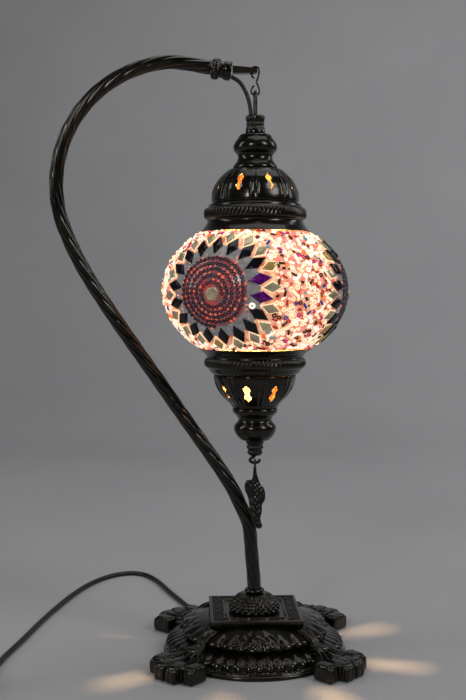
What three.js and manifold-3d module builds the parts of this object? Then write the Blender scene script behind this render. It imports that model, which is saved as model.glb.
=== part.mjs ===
// Mosaic glass table lamp: a cast base on four paw feet, a twisted swan neck, and a
// hanging mosaic globe between two pierced metal caps. Millimetres, +Z up, origin on
// the table under the middle of the base, +X away from the neck's bow, -Y to the front.
import * as THREE from 'three';
import Module from 'manifold-3d';
import { mergeVertices } from 'three/addons/utils/BufferGeometryUtils.js';

const wasm = await Module();
wasm.setup();

// ---------------------------------------------------------------- driving dimensions
const GAP = 0.3;                      // clearance left between touching pieces

// base
const RIM_RADIUS = 75;                // lower drum's foot ring
const DRUM_SPLIT_Z = 16;              // where the upper drum sits on the lower one
const PLATE_HALF = 36.8;               // square top plate, half of its side
const PLATE_BOTTOM_Z = 26;
const PLATE_TOP_Z = 34.6;
const PLATE_RIM = 3;                  // raised edge of the plate
const FELT_RADIUS = 69;
const FELT_TOP_Z = 2.5;
const LEG_ANGLES = [45, 135, 225, 315];
const LEG_NAMES = ['rear_right', 'rear_left', 'front_left', 'front_right'];
const TOE_OFFSETS = [-17.5, -5.9, 5.9, 17.5];

// neck
const NECK_RADIUS = 5.4;
const NECK_BORE = 3.3;
const NECK_BOTTOM_Z = 7.6;
const NECK_HOLE = NECK_RADIUS + GAP;  // hole the neck passes through in the base
const BOW_CENTRE = [-61.2, 379];      // centre of the neck's upper bow, in X and Z
const BOW_RADIUS = 97.5;
const LEAN_TOP = -12;                 // how far forward the neck's top stands
const LEAN_FOOT_Z = 48;
const NECK_TOP_Z = 477;
const LEAD_FLOOR_Z = 4.5;             // the lead's height where it crosses the base
const LEAD_RADIUS = 1.6;              // two-core lead inside the neck and the shade

// shade, about its own hanging axis
const HANG_X = -0.4;
const HANG_Y = LEAN_TOP;
const SHADE_ORIGIN_Z = 4;             // the shade's own z = 0, above the table
const GLOBE_Z = 292;
const GLOBE_HALF_HEIGHT = 45.8;
const GLASS_OUTER = [72.5, 55.8];     // ellipse half-axes across and up
const GLASS_INNER = [70, 53.4];
const MOSAIC_INNER = [72.9, 56.2];
const MOSAIC_OUTER = [75, 58.1];
const TUBE_RADIUS = 5;                // threaded tube that holds the upper cap together
const TUBE_BORE = 3;
const STUD_RADIUS = 2.5;              // threaded stud that holds the lower cap together
const PIERCINGS = 8;

// hooks
const HOOK_WIRE = 0.75;
const LOOP_ROD = 1.45;
const UPPER_EYE_Z = 470.1;            // middle of the hook's upper eye
const UPPER_EYE_RADIUS = 3.1;
const LOWER_EYE_Z = 454.1;            // middle of the hook's lower eye
const LOWER_EYE_RADIUS = 3.3;
const PENDANT_HOOK_Z = 153.2;         // lowest point of the pendant's hook, on its wire
const PENDANT_WIRE = 1.25;

// mains lead
const CORD_RADIUS = 2.25;
const EXIT_ANGLE = 116;               // where the lead leaves the lower drum
const EXIT_Z = 6.6;
const GROMMET_START = 66;
const GROMMET_LENGTH = 31;
const COIL_CENTRE = [-260, -158];
const COIL_MEAN_RADIUS = 26.2;
const COIL_WIDTH = 14;
const COIL_HEIGHT = 13.5;
const SWITCH_CENTRE = [-221, -90];
const SWITCH_HEADING = -108;          // degrees from +X that the lead runs in through it
const SWITCH_SIZE = [58, 24, 17];
const ROCKER_PIVOT_Z = 12.5;
const ROCKER_TILT = 7;                // rest position, rocked to on
const PLUG_CENTRE = [-284, -84];
const PLUG_HEADING = 78;
const PLUG_SIZE = [34, 26, 13.6];
const PIN_SPACING = 19;
const PIN_RADIUS = 2;

// ---------------------------------------------------------------- materials
const finish = {
  bronze: { color: 0x1d1a16, roughness: 0.38, metalness: 0.9 },
  steel: { color: 0x8a8c8e, roughness: 0.35, metalness: 1 },
  glass: { color: 0xf3e3d2, roughness: 0.25, metalness: 0 },
  beads: { color: 0xe9c3b4, roughness: 0.3, metalness: 0 },
  bulb: { color: 0xfff3da, roughness: 0.4, metalness: 0 },
  holder: { color: 0x1b1b1b, roughness: 0.45, metalness: 0 },
  lead: { color: 0x121212, roughness: 0.5, metalness: 0 },
  felt: { color: 0x16231b, roughness: 0.95, metalness: 0 },
  brass: { color: 0xb08d4a, roughness: 0.3, metalness: 1 },
};

const lamp = new THREE.Group();
const shade = new THREE.Group();
shade.position.set(HANG_X, HANG_Y, SHADE_ORIGIN_Z);
lamp.add(shade);

// ---------------------------------------------------------------- geometry helpers
const radians = THREE.MathUtils.degToRad;

/** Welds shared corners, drops flat triangles and turns the faces outward. */
function closed(geometry) {
  geometry.deleteAttribute('normal');
  geometry.deleteAttribute('uv');
  const welded = mergeVertices(geometry, 1e-4);
  const corner = welded.getAttribute('position');
  const faces = [];
  let volume = 0;
  const [a, b, c] = [new THREE.Vector3(), new THREE.Vector3(), new THREE.Vector3()];
  for (let i = 0; i < welded.index.count; i += 3) {
    const [p, q, r] = [0, 1, 2].map((k) => welded.index.getX(i + k));
    if (p === q || q === r || p === r) continue;
    faces.push([p, q, r]);
    a.fromBufferAttribute(corner, p);
    b.fromBufferAttribute(corner, q);
    c.fromBufferAttribute(corner, r);
    volume += a.dot(b.cross(c));
  }
  if (volume < 0) faces.forEach((face) => face.reverse());
  welded.setIndex(faces.flat());
  return welded;
}

/** A closed geometry as a manifold solid. */
function solid(geometry) {
  const shape = closed(geometry);
  return new wasm.Manifold(new wasm.Mesh({
    numProp: 3,
    vertProperties: new Float32Array(shape.getAttribute('position').array),
    triVerts: new Uint32Array(shape.index.array),
  }));
}

/** A manifold solid back as a geometry. */
function geometryOf(manifold) {
  const mesh = manifold.getMesh();
  const geometry = new THREE.BufferGeometry();
  geometry.setAttribute('position', new THREE.BufferAttribute(mesh.vertProperties, 3));
  geometry.setIndex(new THREE.BufferAttribute(mesh.triVerts, 1));
  return geometry;
}

const joined = (...shapes) => geometryOf(shapes.map(solid).reduce((all, next) => all.add(next)));

const cut = (body, ...tools) =>
  geometryOf(tools.map(solid).reduce((rest, tool) => rest.subtract(tool), solid(body)));

/** Turns a profile of [radius, z] points about the Z axis. */
function lathe(profile, segments = 24) {
  const points = profile.map(([r, z]) => new THREE.Vector2(r, z));
  return new THREE.LatheGeometry(points, segments).rotateX(Math.PI / 2);
}

/** A ring whose profile runs up the outside and down the inside. */
const ring = (profile, segments) => lathe([...profile, profile[0]], segments);

/** A round washer, sleeve or disc; a bore of 0 makes it solid. */
function sleeve(outer, bore, bottom, top, segments = 24) {
  if (bore === 0) return lathe([[0, bottom], [outer, bottom], [outer, top], [0, top]], segments);
  return ring([[bore, bottom], [outer, bottom], [outer, top], [bore, top]], segments);
}

/** A hexagon nut on the Z axis, measured from its middle to a corner. */
const nut = (cornerRadius, bore, bottom, top) => {
  const outline = new THREE.Shape(circle(cornerRadius, 6));
  outline.holes.push(new THREE.Path(circle(bore, 16)));
  return slab(outline, bottom, top);
};

function circle(radius, sides, phase = 0) {
  return Array.from({ length: sides }, (_, i) => {
    const angle = phase + (2 * Math.PI * i) / sides;
    return new THREE.Vector2(radius * Math.cos(angle), radius * Math.sin(angle));
  });
}

/** An outline in X and Y given a thickness from bottom to top. */
function slab(outline, bottom, top, curveSegments = 6) {
  const options = { depth: top - bottom, bevelEnabled: false, curveSegments };
  return new THREE.ExtrudeGeometry(outline, options).translate(0, 0, bottom);
}

/** An outline in X and Z given a width, centred on Y = 0. */
function panel(outline, width, curveSegments = 6) {
  const options = { depth: width, bevelEnabled: false, curveSegments };
  return new THREE.ExtrudeGeometry(outline, options).rotateX(Math.PI / 2).translate(0, width / 2, 0);
}

const box = (x, y, z, dx, dy, dz) => new THREE.BoxGeometry(dx, dy, dz).translate(x, y, z);

const smooth = (points) =>
  new THREE.CatmullRomCurve3(points.map((p) => new THREE.Vector3(...p)), false, 'centripetal');

/** A round tube along a smooth curve; a bore makes it hollow. */
function tube(curve, radius, sides, steps, bore = 0) {
  const outline = new THREE.Shape(circle(radius, sides));
  if (bore > 0) outline.holes.push(new THREE.Path(circle(bore, 6)));
  return new THREE.ExtrudeGeometry(outline, { extrudePath: curve, steps, bevelEnabled: false });
}

/** Places a geometry made along +X at a point on the table, turned to a heading in degrees. */
const placed = (geometry, [x, y], heading) =>
  geometry.rotateZ(radians(heading)).translate(x, y, 0);

function add(name, look, geometry, parent = lamp) {
  const mesh = new THREE.Mesh(closed(geometry), new THREE.MeshStandardMaterial(finish[look]));
  mesh.name = name;
  parent.add(mesh);
}

// ---------------------------------------------------------------- base
const exitDirection = [Math.cos(radians(EXIT_ANGLE)), Math.sin(radians(EXIT_ANGLE))];
const onExit = (radius, z) => [exitDirection[0] * radius, exitDirection[1] * radius, z];

function addDrums() {
  const lower = ring([
    [NECK_HOLE, 13], [54, 13], [67.5, 4.5], [70, FELT_TOP_Z + GAP], [70, 0], [RIM_RADIUS, 0],
    [RIM_RADIUS, 3.2], [72.6, 4.8], [71.8, 8], [67, 12.2], [60, 14.6],
    [58, DRUM_SPLIT_Z], [NECK_HOLE, DRUM_SPLIT_Z],
  ], 26);
  const leadHole = tube(smooth([onExit(55, EXIT_Z), onExit(80, EXIT_Z)]), 4.2, 12, 1);
  add('lower_drum', 'bronze', cut(lower, leadHole));

  const foot = DRUM_SPLIT_Z + GAP;
  const upper = ring([
    [NECK_HOLE, 22], [46, 22], [51, 20.5], [54, foot], [58, foot], [59.6, 17.8], [60, 19.8],
    [58.5, 21.8], [53, 25], [46, 27.8], [38.5, 29.4], [NECK_HOLE, 29.4],
  ], 26);
  const seat = 2 * (PLATE_HALF + GAP);
  const pocket = box(0, 0, PLATE_BOTTOM_Z - GAP + 10, seat, seat, 20);
  add('upper_drum', 'bronze', cut(upper, pocket));
}

function addTopPlate() {
  const side = 2 * PLATE_HALF;
  const height = PLATE_TOP_Z - PLATE_BOTTOM_Z;
  const block = box(0, 0, (PLATE_TOP_Z + PLATE_BOTTOM_Z) / 2, side, side, height);
  const recess = side - 2 * PLATE_RIM;
  const border = box(0, 0, PLATE_TOP_Z + 3.5, recess, recess, 10);
  const frame = box(0, 0, PLATE_TOP_Z - 1, 52, 52, 2);
  const well = box(0, 0, PLATE_TOP_Z + 3.5, 48, 48, 10);
  const hole = sleeve(NECK_HOLE, 0, 20, 45, 16);
  add('top_plate', 'bronze', cut(joined(cut(block, border), frame), well, hole));
}

function addBossAndFixings() {
  const floor = PLATE_TOP_Z - 1.5 + GAP;
  add('stem_boss', 'bronze', ring([
    [NECK_HOLE, floor], [18.2, floor], [20.2, 36.6], [19.4, 40.1], [16.1, 44.1], [10.8, 47.2],
    [NECK_HOLE, 48],
  ], 20));
  add('stem_collar', 'bronze', sleeve(7.4, NECK_HOLE, 48 + GAP, 51.2, 20));
  add('base_washer', 'steel', sleeve(13, NECK_HOLE, 11.5, 13 - GAP, 20));
  add('base_nut', 'steel', nut(10, NECK_HOLE, 8, 11.5 - GAP));
  add('base_felt', 'felt', sleeve(FELT_RADIUS, 0, 0, FELT_TOP_Z, 28));
}

/** One cast leg along +X: leaf strap, rolled volute and a paw with four toes. */
function leg() {
  const strap = panel(new THREE.Shape([
    [52.4, 26], [58.9, 22.6], [60.6, 20.6], [60.6, 15.2], [67.4, 12.8], [72.4, 8.6], [80, 8.6],
    [80, 12], [74, 17.5], [68, 22], [60, 26.4], [52.4, 29.6],
  ].map(([r, z]) => new THREE.Vector2(r, z))), 15);
  const volute = new THREE.CylinderGeometry(5.2, 5.2, 20, 10).translate(72.2, 0, 15.4);
  const instep = new THREE.Shape([
    [75.4, -13], [84, -20], [94, -21], [94, 21], [84, 20], [75.4, 13],
  ].map(([x, y]) => new THREE.Vector2(x, y)));
  const heel = slab(instep, 0, 12);
  const toes = TOE_OFFSETS.map((y) =>
    new THREE.SphereGeometry(6.4, 7, 4).scale(1.6, 0.98, 1.35).translate(96 - 0.024 * y * y, y, 6.6));
  const whole = [strap, volute, heel, ...toes].map(solid).reduce((all, next) => all.add(next));
  const table = solid(box(80, 0, 50, 100, 100, 100));
  return geometryOf(whole.intersect(table));
}

function addLegs() {
  LEG_ANGLES.forEach((angle, i) =>
    add(`paw_leg_${LEG_NAMES[i]}`, 'bronze', leg().rotateZ(radians(angle))));
}

// ---------------------------------------------------------------- neck
/** How far forward the neck stands at a height. */
const lean = (z) => LEAN_TOP * (Math.max(0, z - LEAN_FOOT_Z) / (NECK_TOP_Z - LEAN_FOOT_Z)) ** 2;

function neckPoints() {
  const rise = [
    [0, NECK_BOTTOM_Z], [0, 30], [0, 50], [-2.2, 79], [-5, 105], [-11.2, 119.6], [-19.8, 137.3],
    [-70.3, 211.7], [-122.5, 288.2], [-139, 315.6],
  ];
  for (let angle = 206; angle > 80; angle -= 14) {
    rise.push([
      BOW_CENTRE[0] + BOW_RADIUS * Math.cos(radians(angle)),
      BOW_CENTRE[1] + BOW_RADIUS * Math.sin(radians(angle)),
    ]);
  }
  rise.push([-35.6, 472.2]);
  return rise.map(([x, z]) => [x, lean(z), z]);
}

const FERRULE_TILT = 9;
const FERRULE_START = [-35.3, 471.9];
const FERRULE_LENGTH = 16;
/** The lead's way through the ferrule: in at the neck's end, out under the tongue. */
const ferruleLead = [[-41.2, -11.8, 473.6], [-36.2, -11.8, 471.8], [-27.7, -11.9, 469.2],
  [-19.8, HANG_Y, 465.3], [-15.2, HANG_Y, 462.6]];

function addNeck() {
  const path = neckPoints();
  add('swan_neck', 'bronze', tube(smooth(path), NECK_RADIUS, 8, 40, NECK_BORE));

  const inDrum = [onExit(GROMMET_START - GAP, EXIT_Z), onExit(50, EXIT_Z - 0.6),
    onExit(24, LEAD_FLOOR_Z), onExit(0, LEAD_FLOOR_Z)];
  add('base_lead', 'lead', tube(smooth(inDrum), LEAD_RADIUS, 6, 5));
  const leadPath = [[0, 0, LEAD_FLOOR_Z + LEAD_RADIUS + GAP], ...path.slice(1, -1),
    ...ferruleLead.slice(1, 4)];
  add('neck_lead', 'lead', tube(smooth(leadPath), LEAD_RADIUS, 6, 48));

  const profile = [
    [0, 0], [6.6, 0], [8, 1.6], [8, 5], [6.8, 7], [6.8, 10], [7.6, 11], [7.6, FERRULE_LENGTH],
    [0, FERRULE_LENGTH],
  ];
  const ferrule = lathe(profile, 16).rotateY(Math.PI / 2 + radians(FERRULE_TILT))
    .translate(FERRULE_START[0], lean(FERRULE_START[1]), FERRULE_START[1]);
  const bore = tube(smooth(ferruleLead), LEAD_RADIUS + 2 * GAP, 8, 10);
  add('neck_ferrule', 'bronze', cut(ferrule, bore));
}

function addTongue() {
  const root = -18.5;
  const tip = HANG_X + 1.5;
  const outline = new THREE.Shape([
    [root, 467.4], [tip - 0.8, 467.7], [tip, 468.5], [tip, 470.8], [tip - 0.9, 471.7], [root, 473.4],
  ].map(([x, z]) => new THREE.Vector2(x, z)));
  const slot = box(HANG_X - 2.65, 0, 470, 4.1, 3, 20);
  add('hook_tongue', 'bronze', cut(panel(outline, 6.4), slot).translate(0, HANG_Y, 0));
}

// ---------------------------------------------------------------- hooks and shade lead
function arc(centreZ, radius, from, to, steps) {
  return Array.from({ length: steps + 1 }, (_, i) => {
    const angle = radians(from + ((to - from) * i) / steps);
    return [HANG_X + radius * Math.cos(angle), HANG_Y, centreZ + radius * Math.sin(angle)];
  });
}

function addHooks() {
  const crossing = [HANG_X + 1, HANG_Y, 461.4];
  const hook = [
    [HANG_X - 0.9, HANG_Y, 463.9], [HANG_X - 2.7, HANG_Y, 465.9],
    ...arc(UPPER_EYE_Z, UPPER_EYE_RADIUS, 196, -16, 8), [HANG_X + 2.1, HANG_Y, 464.6], crossing,
    [HANG_X + 2.2, HANG_Y, 458.4], ...arc(LOWER_EYE_Z, LOWER_EYE_RADIUS, 16, -196, 8),
    [HANG_X - 2, HANG_Y, 457.3], [HANG_X - 0.8, HANG_Y, 458.2],
  ];
  add('s_hook', 'bronze', tube(smooth(hook), HOOK_WIRE, 6, 36));

  const eyeTop = LOWER_EYE_Z - SHADE_ORIGIN_Z - LOWER_EYE_RADIUS + HOOK_WIRE + GAP + LOOP_ROD;
  const half = 3.4;
  const loop = [[0, -half, 431.1], [0, -half, 438]];
  for (let angle = 180; angle >= 0; angle -= 30) {
    loop.push([0, half * Math.cos(radians(angle)), eyeTop - half + half * Math.sin(radians(angle))]);
  }
  loop.push([0, half, 438], [0, half, 431.1]);
  add('shade_loop', 'bronze', tube(smooth(loop), LOOP_ROD, 8, 20), shade);

  add('shade_flex', 'lead', tube(smooth([
    [-19.5, HANG_Y, 465.1], [-13.1, HANG_Y, 461.2], [-8.1, HANG_Y, 453.4], [-5, HANG_Y, 444],
    [HANG_X - 3.4, HANG_Y, 435.1],
  ]), LEAD_RADIUS, 8, 10));
}

// ---------------------------------------------------------------- shade
/** Points on one quarter-symmetric ellipse wall, from one opening to the other. */
function shell([outerR, outerZ], [innerR, innerZ], steps = 6) {
  const wall = ([a, c], sign) => Array.from({ length: steps + 1 }, (_, i) => {
    const z = sign * GLOBE_HALF_HEIGHT * Math.cos((Math.PI * i) / steps);
    return [a * Math.sqrt(1 - (z / c) ** 2), GLOBE_Z + z];
  });
  return ring([...wall([outerR, outerZ], -1), ...wall([innerR, innerZ], 1)], 22);
}

/** Window cutters spread round a cap: two lozenges, one above the other, that share a waist. */
function windows(z, height, width, phase) {
  const waist = 0.28 * width;
  const half = [
    [waist, 0], [width / 2, height / 4], [0, height / 2], [-width / 2, height / 4], [-waist, 0],
  ];
  const outline = [...half, ...half.slice(1, -1).map(([x, y]) => [-x, -y])];
  return Array.from({ length: PIERCINGS }, (_, i) => {
    const shape = new THREE.Shape(outline.map(([x, y]) => new THREE.Vector2(x, y)));
    const cutter = new THREE.ExtrudeGeometry(shape, { depth: 40, bevelEnabled: false });
    return cutter.rotateX(Math.PI / 2).rotateZ(Math.PI).translate(0, 12, z)
      .rotateZ(radians(phase + (360 * i) / PIERCINGS));
  });
}

function addUpperCap() {
  const spindle = ring([
    [TUBE_RADIUS + GAP, 416], [7.8, 416], [7.8, 420], [6.4, 422], [6.4, 424.6], [7.35, 426],
    [7.35, 430.8], [0.6, 430.8], [0.6, 427], [TUBE_RADIUS + GAP, 427],
  ], 20);
  const leadHole = sleeve(LEAD_RADIUS + GAP, 0, 420, 440, 12).translate(-3.4, 0, 0);
  add('top_spindle', 'bronze', cut(spindle, leadHole), shade);

  add('upper_finial', 'bronze', ring([
    [TUBE_RADIUS + GAP, 388.3], [17.6, 388.3], [17.6, 391], [13.8, 397], [14.6, 400], [17.3, 403],
    [17.3, 408], [15, 411.5], [12.2, 415.6], [TUBE_RADIUS + GAP, 415.6],
  ], 18), shade);

  const dome = ring([
    [32.3, 360.9], [33.9, 360.9], [32.6, 367.5], [29.1, 374.4], [23.5, 382], [19.5, 388],
    [TUBE_RADIUS + GAP, 388], [TUBE_RADIUS + GAP, 386.4], [18.6, 386.4], [22.2, 381],
    [27.6, 373.6], [31, 366.9],
  ], 20);
  add('upper_dome', 'bronze', cut(dome, ...windows(376, 14.5, 7, 18)), shade);

  add('upper_gallery', 'bronze', ring([
    [43.1, 338.2], [44.7, 338.2], [40.2, 342.6], [37.8, 346.6], [40.2, 348.4], [40.2, 355.6],
    [37.8, 357.2], [36.5, 357.6], [36.5, 360.6], [29, 360.6], [29, 357], [36.2, 356.4],
    [36.2, 346], [38.8, 341.9],
  ], 20), shade);

  add('hanger_tube', 'steel', sleeve(TUBE_RADIUS, TUBE_BORE, 343, 419, 20), shade);
  const bar = cut(box(0, 0, 355.2, 66, 12, 2.6), sleeve(TUBE_RADIUS + GAP, 0, 350, 360, 20));
  add('upper_bar', 'steel', bar.rotateZ(radians(40)), shade);
  add('tube_nut', 'steel', nut(8.6, TUBE_RADIUS + GAP, 350.5, 353.6), shade);
}

function addLampHolder() {
  add('lamp_holder', 'holder', ring([
    [7.7, 311], [13.2, 311], [14, 313], [14, 334], [12.6, 338], [12.6, 346], [9.4, 350.2],
    [TUBE_RADIUS + GAP, 350.2], [TUBE_RADIUS + GAP, 341], [7.7, 341],
  ], 16), shade);
  add('bulb_cap', 'brass', lathe([
    [0, 331], [2.6, 331], [4.6, 329], [6.9, 327.5], [6.9, 308], [6.2, 306.3], [0, 306.3],
  ], 20), shade);
  add('bulb_glass', 'bulb', lathe([
    [0, 306], [6.3, 306], [9.2, 303.5], [16.4, 298.5], [20.8, 291.6], [22, 284], [20.3, 275.5],
    [15.6, 268.4], [8.4, 263.6], [0, 262],
  ], 20), shade);
  const drop = [[-3.4, 0, 430.8], [-3.4, 0, 427.2], [-1.9, 0, 423], [-0.3, 0, 418.6], [0, 0, 413],
    [0, 0, 380], [0, 0, 342]];
  add('shade_lead', 'lead', tube(smooth(drop), LEAD_RADIUS, 6, 18), shade);
}

function addGlobe() {
  add('glass_globe', 'glass', shell(GLASS_OUTER, GLASS_INNER), shade);
  add('mosaic_layer', 'beads', shell(MOSAIC_OUTER, MOSAIC_INNER), shade);
}

function addLowerCap() {
  const bore = STUD_RADIUS + GAP;
  add('lower_gallery', 'bronze', ring([
    [27, 224.9], [33.1, 224.9], [36.1, 227.8], [38.4, 231], [40.1, 232.4], [40.1, 236.6],
    [38.8, 238.4], [41, 241.6], [45.9, 245.8], [44.3, 245.8], [39.6, 242.6], [36.4, 238.6],
    [36.4, 233.4], [33, 228], [27, 228],
  ], 20), shade);
  const bowl = ring([
    [bore, 198.3], [18.3, 198.3], [19.1, 200.4], [25.7, 207.6], [31.3, 215.6], [33.1, 224.6],
    [31.5, 224.6], [29.8, 216.3], [24.5, 208.8], [18.2, 201.9], [17.4, 200], [bore, 200],
  ], 20);
  add('lower_bowl', 'bronze', cut(bowl, ...windows(211.2, 14, 7, 28.5)), shade);
  add('lower_finial', 'bronze', ring([
    [bore, 171.7], [11.2, 171.7], [15.4, 176], [17, 181.3], [15.8, 184.8], [13.2, 187],
    [14.8, 190.4], [18, 194], [18, 198], [bore, 198],
  ], 20), shade);
  const nozzle = [
    [0, 159.2], [4.9, 159.2], [5.9, 161.8], [5.8, 163.4], [6.7, 165.8], [6.4, 167.4], [7.4, 169.2],
    [7.4, 171.4], [bore, 171.4], [bore, 167], [0, 167],
  ];
  add('lower_nozzle', 'bronze', lathe(nozzle, 24), shade);
  add('lower_stud', 'steel', sleeve(STUD_RADIUS, 0, 167.5, 236, 16), shade);
  const bar = cut(box(0, 0, 229.7, 62, 12, 2.6), sleeve(bore, 0, 225, 235, 16));
  add('lower_bar', 'steel', bar.rotateZ(radians(51)), shade);  // clear of the windows' light
  add('stud_nut', 'steel', nut(5.6, bore, 231.4, 234.4), shade);

  const z = PENDANT_HOOK_Z;
  add('pendant_hook', 'bronze', tube(smooth([
    [-0.6, 0, 158.8], [-0.7, 0, 158], [-3.1, 0, z + 3.7], [-4, 0, z + 2], [-2.7, 0, z + 0.5],
    [0, 0, z], [2.8, 0, z + 0.6], [4.1, 0, z + 2.7],
  ]), PENDANT_WIRE, 8, 18), shade);
}

/** Cast leaf charm hanging on its own small ring, facing front. */
function addPendant() {
  const ringWire = 0.8;
  const ringRadius = 2.6;
  const ringZ = PENDANT_HOOK_Z + PENDANT_WIRE + GAP + ringWire - ringRadius;
  const eye = new THREE.TorusGeometry(ringRadius, ringWire, 8, 16).rotateY(Math.PI / 2)
    .translate(0, 0, ringZ);
  const leaf = new THREE.Shape();
  leaf.moveTo(-1.2, 149.9);
  leaf.lineTo(1.2, 149.9);
  leaf.quadraticCurveTo(1.2, 144, 3.4, 138.6);
  leaf.quadraticCurveTo(4.4, 135.6, 6.9, 133.2);
  leaf.quadraticCurveTo(8.8, 129.5, 8.3, 124.5);
  leaf.quadraticCurveTo(7.6, 120, 5.7, 119.4);
  leaf.quadraticCurveTo(6, 112, 4.4, 108);
  leaf.quadraticCurveTo(4.4, 104.6, 6.2, 102.6);
  leaf.quadraticCurveTo(6.4, 99.6, 2.4, 99.4);
  leaf.quadraticCurveTo(-1, 102, -2, 107);
  leaf.quadraticCurveTo(-4.6, 115, -4.9, 122);
  leaf.quadraticCurveTo(-5.2, 125.4, -6.6, 127);
  leaf.quadraticCurveTo(-9.2, 131, -8, 136.6);
  leaf.quadraticCurveTo(-6.6, 140.6, -3, 138.8);
  leaf.quadraticCurveTo(-1.3, 143.5, -1.2, 149.9);
  add('pendant', 'bronze', joined(eye, panel(leaf, 5, 2)), shade);
}

// ---------------------------------------------------------------- mains lead
function alongSwitch(distance, z) {
  const heading = radians(SWITCH_HEADING);
  return [
    SWITCH_CENTRE[0] + distance * Math.cos(heading),
    SWITCH_CENTRE[1] + distance * Math.sin(heading), z,
  ];
}

function addMainsLead() {
  const grommet = lathe([
    [0, 0], [3.8, 0], [3.8, 9.4], [5.4, 9.4], [5.4, 11.4], [4.4, 12.2], [2.6, GROMMET_LENGTH],
    [0, GROMMET_LENGTH],
  ], 16).rotateY(Math.PI / 2).translate(GROMMET_START, 0, EXIT_Z).rotateZ(radians(EXIT_ANGLE));
  add('cord_grommet', 'lead', grommet);

  const rest = CORD_RADIUS + 0.1;
  const start = GROMMET_START + GROMMET_LENGTH + GAP;
  const half = SWITCH_SIZE[0] / 2 + 2 * GAP;
  add('mains_cord_run', 'lead', tube(smooth([
    onExit(start, EXIT_Z), onExit(start + 12, EXIT_Z - 0.8), onExit(start + 28, rest + 0.3),
    [-64, 138, rest], [-73, 163, rest], [-81, 188, rest], [-90, 211, rest], [-101, 228, rest],
    [-114, 234, rest], [-128, 229, rest], [-142, 214, rest], [-155, 190, rest], [-166, 158, rest],
    [-177, 114, rest], [-186, 70, rest], [-194, 24, rest], [-201, -12, rest],
    alongSwitch(-half - 18, rest + 0.6),
    alongSwitch(-half - 4, 5.8), alongSwitch(-half, 6),
  ]), CORD_RADIUS, 8, 46));

  const outer = COIL_MEAN_RADIUS + COIL_WIDTH / 2;
  const inner = COIL_MEAN_RADIUS - COIL_WIDTH / 2;
  const beside = COIL_CENTRE[0] + outer + GAP + CORD_RADIUS;
  add('mains_cord_link', 'lead', tube(smooth([
    alongSwitch(half, 6), alongSwitch(half + 4, 5.8), alongSwitch(half + 14, rest + 0.6),
    [beside + 0.4, COIL_CENTRE[1] + 14, rest],
    [beside, COIL_CENTRE[1] + 2, rest],
  ]), CORD_RADIUS, 8, 6));

  add('mains_cord_coil', 'lead', ring([
    [inner, 0.05], [outer, 0.05], [outer, COIL_HEIGHT], [inner, COIL_HEIGHT],
  ], 32).translate(COIL_CENTRE[0], COIL_CENTRE[1], 0));

  const left = COIL_CENTRE[0] - outer - GAP - CORD_RADIUS;
  const plugEnd = -PLUG_SIZE[0] / 2 - GAP;
  add('mains_cord_tail', 'lead', tube(smooth([
    [left, COIL_CENTRE[1], rest], [left, COIL_CENTRE[1] + 18, rest],
    alongPlug(plugEnd - 20, rest + 0.9), alongPlug(plugEnd - 4, PLUG_SIZE[2] / 2 - 0.4),
    alongPlug(plugEnd, PLUG_SIZE[2] / 2),
  ]), CORD_RADIUS, 8, 8));
}

/** In-line rocker switch lying on the table: two shells and a rocker in its window. */
function addSwitch() {
  const [length, width, height] = SWITCH_SIZE;
  const pill = new THREE.Shape();
  const end = length / 2;
  pill.moveTo(-end, -4.5);
  pill.quadraticCurveTo(-end + 8, -width / 2, -end + 16, -width / 2);
  pill.lineTo(end - 16, -width / 2);
  pill.quadraticCurveTo(end - 8, -width / 2, end, -4.5);
  pill.lineTo(end, 4.5);
  pill.quadraticCurveTo(end - 8, width / 2, end - 16, width / 2);
  pill.lineTo(-end + 16, width / 2);
  pill.quadraticCurveTo(-end + 8, width / 2, -end, 4.5);
  pill.lineTo(-end, -4.5);
  const split = height / 2;
  const lowerShell = slab(pill, 0, split - GAP / 2, 4);
  const well = box(0, 0, split, 19, 11.4, 9);
  add('switch_base', 'holder', placed(cut(lowerShell, well), SWITCH_CENTRE, SWITCH_HEADING));
  const window = box(0, 0, split + 5, 19, 11.4, 20);
  const upperShell = slab(pill, split + GAP / 2, height, 4);
  add('switch_cover', 'holder', placed(cut(upperShell, window), SWITCH_CENTRE, SWITCH_HEADING));
  const key = new THREE.Shape([
    [-8.2, 18.2], [0, 17], [8.2, 18.2], [7.6, 11], [0, 8.6], [-7.6, 11],
  ].map(([x, z]) => new THREE.Vector2(x, z)));
  const rocker = panel(key, 10).translate(0, 0, -ROCKER_PIVOT_Z).rotateY(radians(ROCKER_TILT))
    .translate(0, 0, ROCKER_PIVOT_Z);
  add('switch_rocker', 'holder', placed(rocker, SWITCH_CENTRE, SWITCH_HEADING));
}

/** Moulded two-pin plug lying flat beside the coil. */
function alongPlug(distance, z) {
  const heading = radians(PLUG_HEADING);
  return [
    PLUG_CENTRE[0] + distance * Math.cos(heading), PLUG_CENTRE[1] + distance * Math.sin(heading), z,
  ];
}

function addPlug() {
  const [length, width, height] = PLUG_SIZE;
  const outline = new THREE.Shape();
  outline.moveTo(-length / 2, -5);
  outline.quadraticCurveTo(-length / 4, -width / 2, 2, -width / 2);
  outline.lineTo(length / 2, -width / 2);
  outline.lineTo(length / 2, width / 2);
  outline.lineTo(2, width / 2);
  outline.quadraticCurveTo(-length / 4, width / 2, -length / 2, 5);
  outline.lineTo(-length / 2, -5);
  add('plug_body', 'holder', placed(slab(outline, 0, height, 5), PLUG_CENTRE, PLUG_HEADING));
  [-1, 1].forEach((side, i) => {
    const pin = new THREE.CylinderGeometry(PIN_RADIUS, PIN_RADIUS, 18, 12).rotateZ(Math.PI / 2)
      .translate(length / 2 + GAP + 9, (side * PIN_SPACING) / 2, height / 2);
    add(`plug_pin_${i + 1}`, 'brass', placed(pin, PLUG_CENTRE, PLUG_HEADING));
  });
}

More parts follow.
